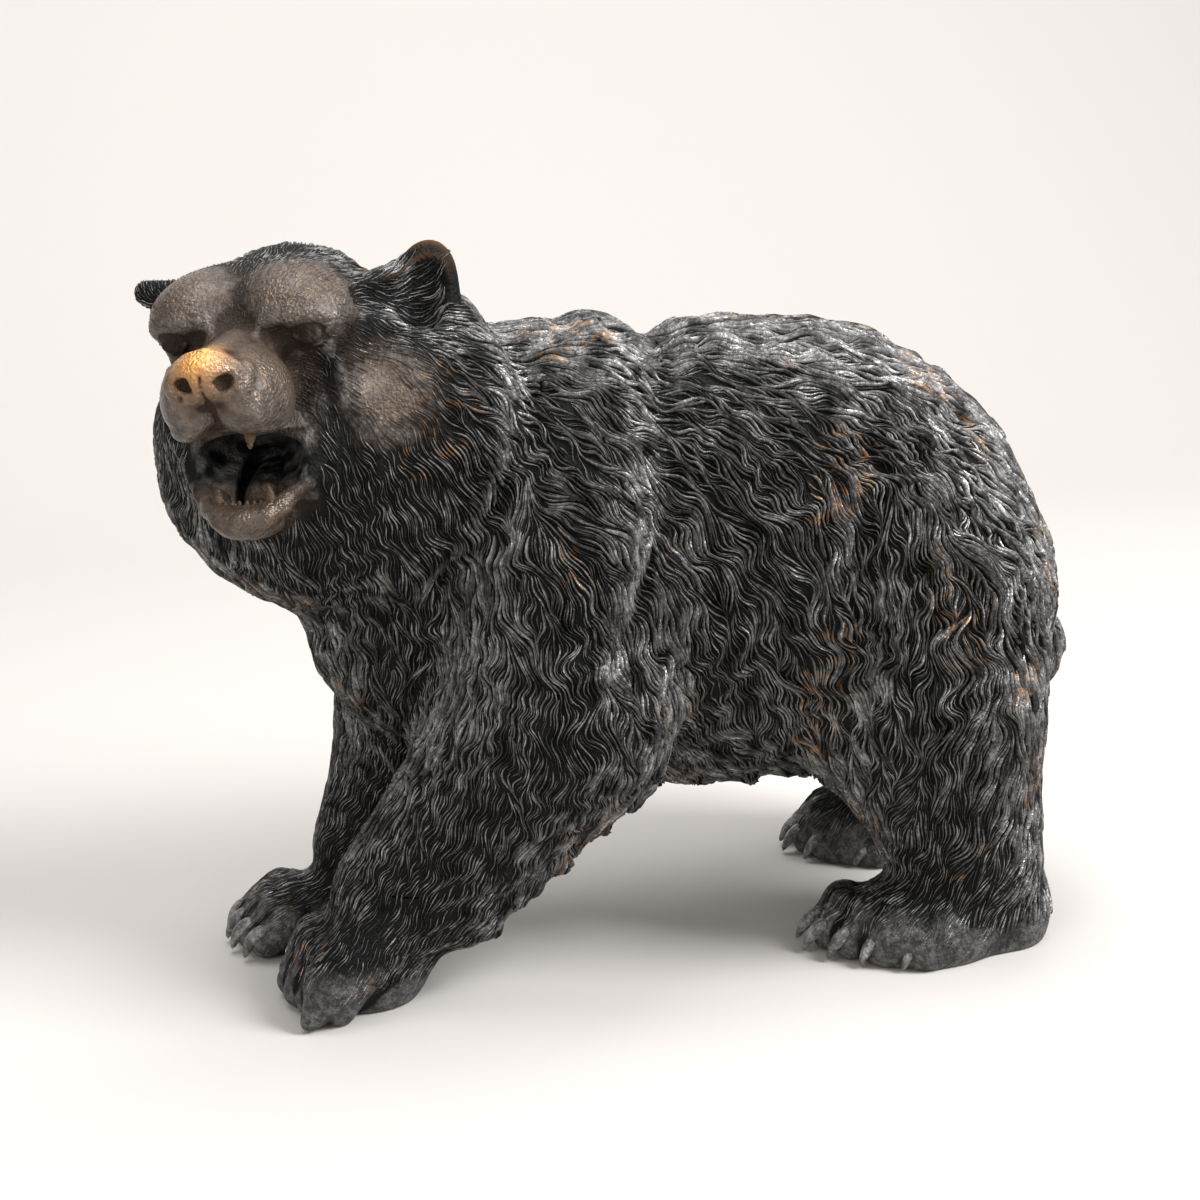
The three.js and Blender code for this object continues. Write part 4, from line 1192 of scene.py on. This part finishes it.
def patina():
    material = bpy.data.materials.new("patinated_bronze")
    material.use_nodes = True
    tree = material.node_tree
    link = tree.links.new
    shader = tree.nodes["Principled BSDF"]
    crest = attribute(tree, (-1400, 300), "crest")
    rub = attribute(tree, (-1400, 100), "rub")
    warm = attribute(tree, (-1400, -100), "warm")
    mottle = noise(tree, (-1400, -400), 260.0, 4.0, 0.65)
    grain = noise(tree, (-1400, -700), 620.0, 2.0, 0.5)
    # How far a point is rubbed and gets painted sheen; low values give the painted shade of the grooves.
    worn_and_sheen = ramp(tree, (-1100, 300), crest, 0.2, 0.9, 0.0, 1.0)
    speck = ramp(tree, (-1100, -400), mottle, 0.42, 0.62, 0.25, 1.0)
    shine = node(tree, "ShaderNodeMath", (-900, 200), operation="MULTIPLY")
    link(worn_and_sheen, shine.inputs[0])
    link(speck, shine.inputs[1])
    groove = mixed(tree, (-700, 500), warm, BLACK_GROOVE, BROWN_GROOVE)
    pale = mixed(tree, (-700, 250), warm, GREY_CREST, BROWN_CREST)
    worn_and_shaded_colour = mixed(tree, (-450, 300), shine.outputs[0], groove, pale)
    link(mixed(tree, (-200, 200), rub, worn_and_shaded_colour, GOLD), shader.inputs["Base Color"])
    metal = node(tree, "ShaderNodeMath", (-450, 0), operation="MAXIMUM")
    link(rub, metal.inputs[0])
    link(ramp(tree, (-700, 0), shine.outputs[0], 0.0, 1.0, 0.0, 0.85), metal.inputs[1])
    link(metal.outputs[0], shader.inputs["Metallic"])
    rough = node(tree, "ShaderNodeMath", (-450, -200), operation="MULTIPLY_ADD")
    link(warm, rough.inputs[0])
    rough.inputs[1].default_value = -0.07
    link(ramp(tree, (-700, -200), worn_and_sheen, 0.0, 1.0, 0.6, 0.36), rough.inputs[2])
    link(rough.outputs[0], shader.inputs["Roughness"])
    link(ramp(tree, (-450, -350), worn_and_sheen, 0.0, 1.0, 0.1, 0.6), shader.inputs["Specular IOR Level"])
    link(ramp(tree, (-450, -650), worn_and_sheen, 0.0, 1.0, 0.0, 0.3), shader.inputs["Coat Weight"])
    shader.inputs["Coat Roughness"].default_value = 0.35
    dents = node(tree, "ShaderNodeBump", (-450, -500), Strength=0.9, Distance=0.0016)
    link(grain, dents.inputs["Height"])
    link(dents.outputs["Normal"], shader.inputs["Normal"])
    return material


bronze = patina()
print(len(bronze.node_tree.nodes), "nodes in", bronze.name)

# %% [markdown]
# ## Worn and lit places
# A cloth rubs what stands out and misses the hollows. The skin is smoothed, and where a point stands out
# of the smoothed skin it is worn and gets a painted sheen; where it sinks in, it gets painted shade. This
# is measured on the relief itself, so each small fold gets its light edge, a painted highlight.


# %% Worn and lit places
# LEVEL: the wear and painted sheen of a flat place.
LEVEL = 0.62  # the wear of a flat place


def swelling(points, squares, rounds):
    """How far each point stands out of the smoothed surface around it, in millimetres."""
    pairs = np.concatenate([squares[:, [a, (a + 1) % 4]] for a in range(4)])
    pairs = np.concatenate([pairs, pairs[:, ::-1]])
    count = np.maximum(np.bincount(pairs[:, 0], minlength=len(points)), 1)[:, None]
    smooth = points
    for _ in range(rounds):
        total = [np.bincount(pairs[:, 0], smooth[pairs[:, 1], c], len(points)) for c in range(3)]
        smooth = np.stack(total, axis=1) / count
    _, slope = field_at(points)
    return ((points - smooth) * unit(slope)).sum(axis=1)


# Wear and painted sheen where face and paws stand out, painted shade in their hollows.
face_swelling = swelling(face_points, face_squares, 14)
face_wear_and_sheen = np.clip(LEVEL + face_swelling / 0.5, 0, 1)
paw_wear_and_sheen = np.clip(LEVEL + swelling(paw_points, paw_squares, 8) / 0.6, 0, 1)
print("mean wear of face and paws:", face_wear_and_sheen.mean().round(2), paw_wear_and_sheen.mean().round(2))

# %% [markdown]
# ## Brown and gold
# The patina is brown on the muzzle, the lower lip, the brows and the dome of the left cheek, and fades
# into black around them. The rubbed bronze and its painted sheen are mottled in patches and in fine specks,
# held low in the mouth, darkened by painted shade around the eyes, and gold on top of the nose and a little
# on the rim of the pricked ear.


# %% Brown and gold
def oval(q, middle, radii, strength):
    """Falls from a strength in the middle to one less on an oval around it."""
    return strength - np.linalg.norm((q - middle) / radii, axis=1)


def warmth(points):
    """Where the bronze is brown: the muzzle, the lower lip, the brows and the dome of the cheek."""
    q = HEAD.local(points)
    near = q[:, 1] > 0
    q[:, 1] = np.abs(q[:, 1])
    parts = [
        oval(q, [66, 0, 2], [42, 36, 34], 1.4),
        oval(q, [52, 0, -54], [18, 30, 14], 1.5),
        oval(q, [36, 24, 38], [28, 30, 26], 1.2),
        np.where(near, oval(q, CHEEK, [18, 24, 22], 1.4), 0),
    ]
    return np.clip(1.6 * np.max(parts, axis=0), 0, 1)


ahead, left, up = HEAD.local(face_points).T
face_warm = warmth(face_points)
# Crest of the face: wear and painted sheen where it stands out, painted shade in hollows, stronger where it
# is brown.
face_crest = face_wear_and_sheen * (0.18 + 0.82 * face_warm)
face_crest *= np.clip(0.86 + 0.12 * ripple(face_points, 20, 7), 0.55, 1)
face_crest *= np.clip(0.93 + 0.09 * ripple(face_points, 3.2, 8), 0.7, 1)
in_mouth = (ahead < 52) & (np.abs(left) < 26) & (up > -50) & (up < -18)
# In the mouth the painted sheen is held low and even, with a little mottle.
face_crest = np.where(in_mouth, np.clip(0.28 + 0.07 * ripple(face_points, 9, 9), 0.1, 0.45), face_crest)
from_eye = np.stack([ahead, np.abs(left), up], axis=1) - [46, 31, 21.5]
# Painted shade in and around the eye sockets under the brows.
face_crest = face_crest * np.clip(np.linalg.norm(from_eye, axis=1) / 9, 0.3, 1)
from_nose = (HEAD.local(face_points) - [96, -3, 12]) / [12, 10.5, 11]
nose_rub = 1.2 * np.clip(2 * face_wear_and_sheen - 0.5, 0, 1) * np.exp(-(from_nose**2).sum(axis=1))
ear_rub = 0.14 * np.clip(face_swelling / 0.6 - 0.5, 0, 1)
ear_rub *= np.clip((up - 45) / 15, 0, 1)
ear_rub = np.where(left > 56, ear_rub, 0)
face_sheen_and_tone = {
    "crest": np.maximum(face_crest, ear_rub),
    "warm": face_warm,
    "rub": np.maximum(nose_rub, ear_rub),
}
# The paws' crest: wear and painted sheen where they stand out, fading out above to meet the body's black
# skin.
paw_sheen_and_wear = {"crest": 0.36 * paw_wear_and_sheen * np.clip((44 - paw_points[:, 2]) / 24, 0, 1)}
print("gold share of the face:", (face_sheen_and_tone["rub"] > 0.1).mean().round(3))

# %% [markdown]
# ## The casting
# The body, the paws and the claws are one piece, which takes the place of the solid. The face is a piece
# of its own, because each piece is baked to one picture when it is exported, and the face needs the most
# of it.

# %% The casting
# The body's skin has no crest, so it is black between the strands: patina and painted shade.
casting = make_piece(
    "bear",
    [(body_points, body_squares, {}), (paw_points, paw_squares, paw_sheen_and_wear), *all_claws],
    bronze,
)
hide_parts("bear")
make_piece("face", [(face_points, face_squares, face_sheen_and_tone), *teeth], bronze)

# %% [markdown]
# ## The coat
# The strands of each pass are sorted from head to tail and shared out over pieces that stay under the
# limit of triangles that the export keeps. Gold shows in broad patches, and within them only in single
# flecks.

# %% Coat
PIECE_TRIANGLES = 190000
coat = []
for places, normals, length in laid:
    order = np.argsort(places[:, 0, 0])
    triangles = 4 * places.shape[1] - 2
    for part in np.array_split(order, math.ceil(len(order) * triangles / PIECE_TRIANGLES)):
        coat.append((places[part], normals[part], length[part]))
for number, (places, normals, length) in enumerate(coat):
    points, faces, crests = shape_strands(places, normals, length, rng)
    patches = np.clip(1.2 * (ripple(points, 60, 5) - 0.66), 0, 1)
    flecks = np.clip(1.5 * ripple(points, 7, 6) - 0.7, 0, 1)
    # The crests carry the painted sheen of the strands; the gold flecks are rubbed bronze.
    finish_and_sheen = {"crest": crests, "rub": 0.5 * crests * (patches * flecks), "warm": warmth(points)}
    make_piece(f"coat_{number + 1}", [(points, faces, finish_and_sheen)], bronze)

# %% [markdown]
# ## Paper
# The bear stands on pale paper that curves up into a wall behind it, as in a small photo studio, so that
# no horizon is seen. It is only a stage and isn't part of the bear.


# %% Paper
SWEEP_RADIUS = 0.8
SWEEP_BACK = 1.6
SWEEP_FRONT = -2.2
SWEEP_TOP = 3.5
SWEEP_SIDE = 4.0
SWEEP_STEPS = 16
BELOW_SOLES = 0.0002
PAPER = (0.50, 0.48, 0.46, 1)


def sweep():
    """A floor that curves up into a wall behind the bear."""
    profile = [(SWEEP_FRONT, 0.0), (SWEEP_BACK - SWEEP_RADIUS, 0.0)]
    for i in range(1, SWEEP_STEPS + 1):
        t = math.pi / 2 * i / SWEEP_STEPS
        y = SWEEP_BACK - SWEEP_RADIUS + SWEEP_RADIUS * math.sin(t)
        profile.append((y, SWEEP_RADIUS - SWEEP_RADIUS * math.cos(t)))
    profile.append((SWEEP_BACK, SWEEP_TOP))
    points = []
    for y, z in profile:
        points += [(-SWEEP_SIDE, y, z - BELOW_SOLES), (SWEEP_SIDE, y, z - BELOW_SOLES)]
    faces = [(2 * i, 2 * i + 1, 2 * i + 3, 2 * i + 2) for i in range(len(profile) - 1)]
    mesh = bpy.data.meshes.new("sweep")
    mesh.from_pydata(points, [], faces)
    mesh.shade_smooth()
    paper = bpy.data.materials.new("paper")
    paper.use_nodes = True
    shader = paper.node_tree.nodes["Principled BSDF"]
    shader.inputs["Base Color"].default_value = PAPER
    shader.inputs["Roughness"].default_value = 0.8
    mesh.materials.append(paper)
    floor = bpy.data.objects.new("sweep", mesh)
    bpy.context.scene.collection.objects.link(floor)
    print("paper of", len(faces), "faces")


sweep()

# %% [markdown]
# ## Lamps
# Bronze lives from what it mirrors, so the lamps are broad and soft. The strongest stands for a window at
# the upper right, one is the sky above and one fills the shadows from the left.


# %% Lamps
def lamp(name, place, target, size, power, colour=(1, 1, 1)):
    """A soft lamp of a width and a height in metres that shines on a target, with its power in watts."""
    data = bpy.data.lights.new(name, "AREA")
    data.shape = "RECTANGLE"
    data.size, data.size_y = size
    data.energy = power
    data.color = colour
    light = bpy.data.objects.new(name, data)
    light.location = place
    light.rotation_mode = "QUATERNION"
    light.rotation_quaternion = (Vector(target) - Vector(place)).to_track_quat("-Z", "Y")
    bpy.context.scene.collection.objects.link(light)


lamp("window", (1.3, -0.9, 1.5), (0, 0, 0.15), (0.9, 0.9), 74)
lamp("sky", (-0.2, 0.2, 1.9), (0, 0, 0.1), (1.4, 1.0), 30)
lamp("fill", (-1.5, -1.3, 0.9), (0, 0, 0.2), (1.2, 1.0), 15, (1.0, 0.96, 0.9))
world = bpy.data.worlds.new("studio")
bpy.context.scene.world = world
world.use_nodes = True
room = world.node_tree.nodes["Background"]
room.inputs["Color"].default_value = (1, 0.99, 0.98, 1)
room.inputs["Strength"].default_value = 0.5
bpy.context.scene.view_settings.view_transform = "Standard"
print("three lamps in a room of strength", room.inputs["Strength"].default_value)
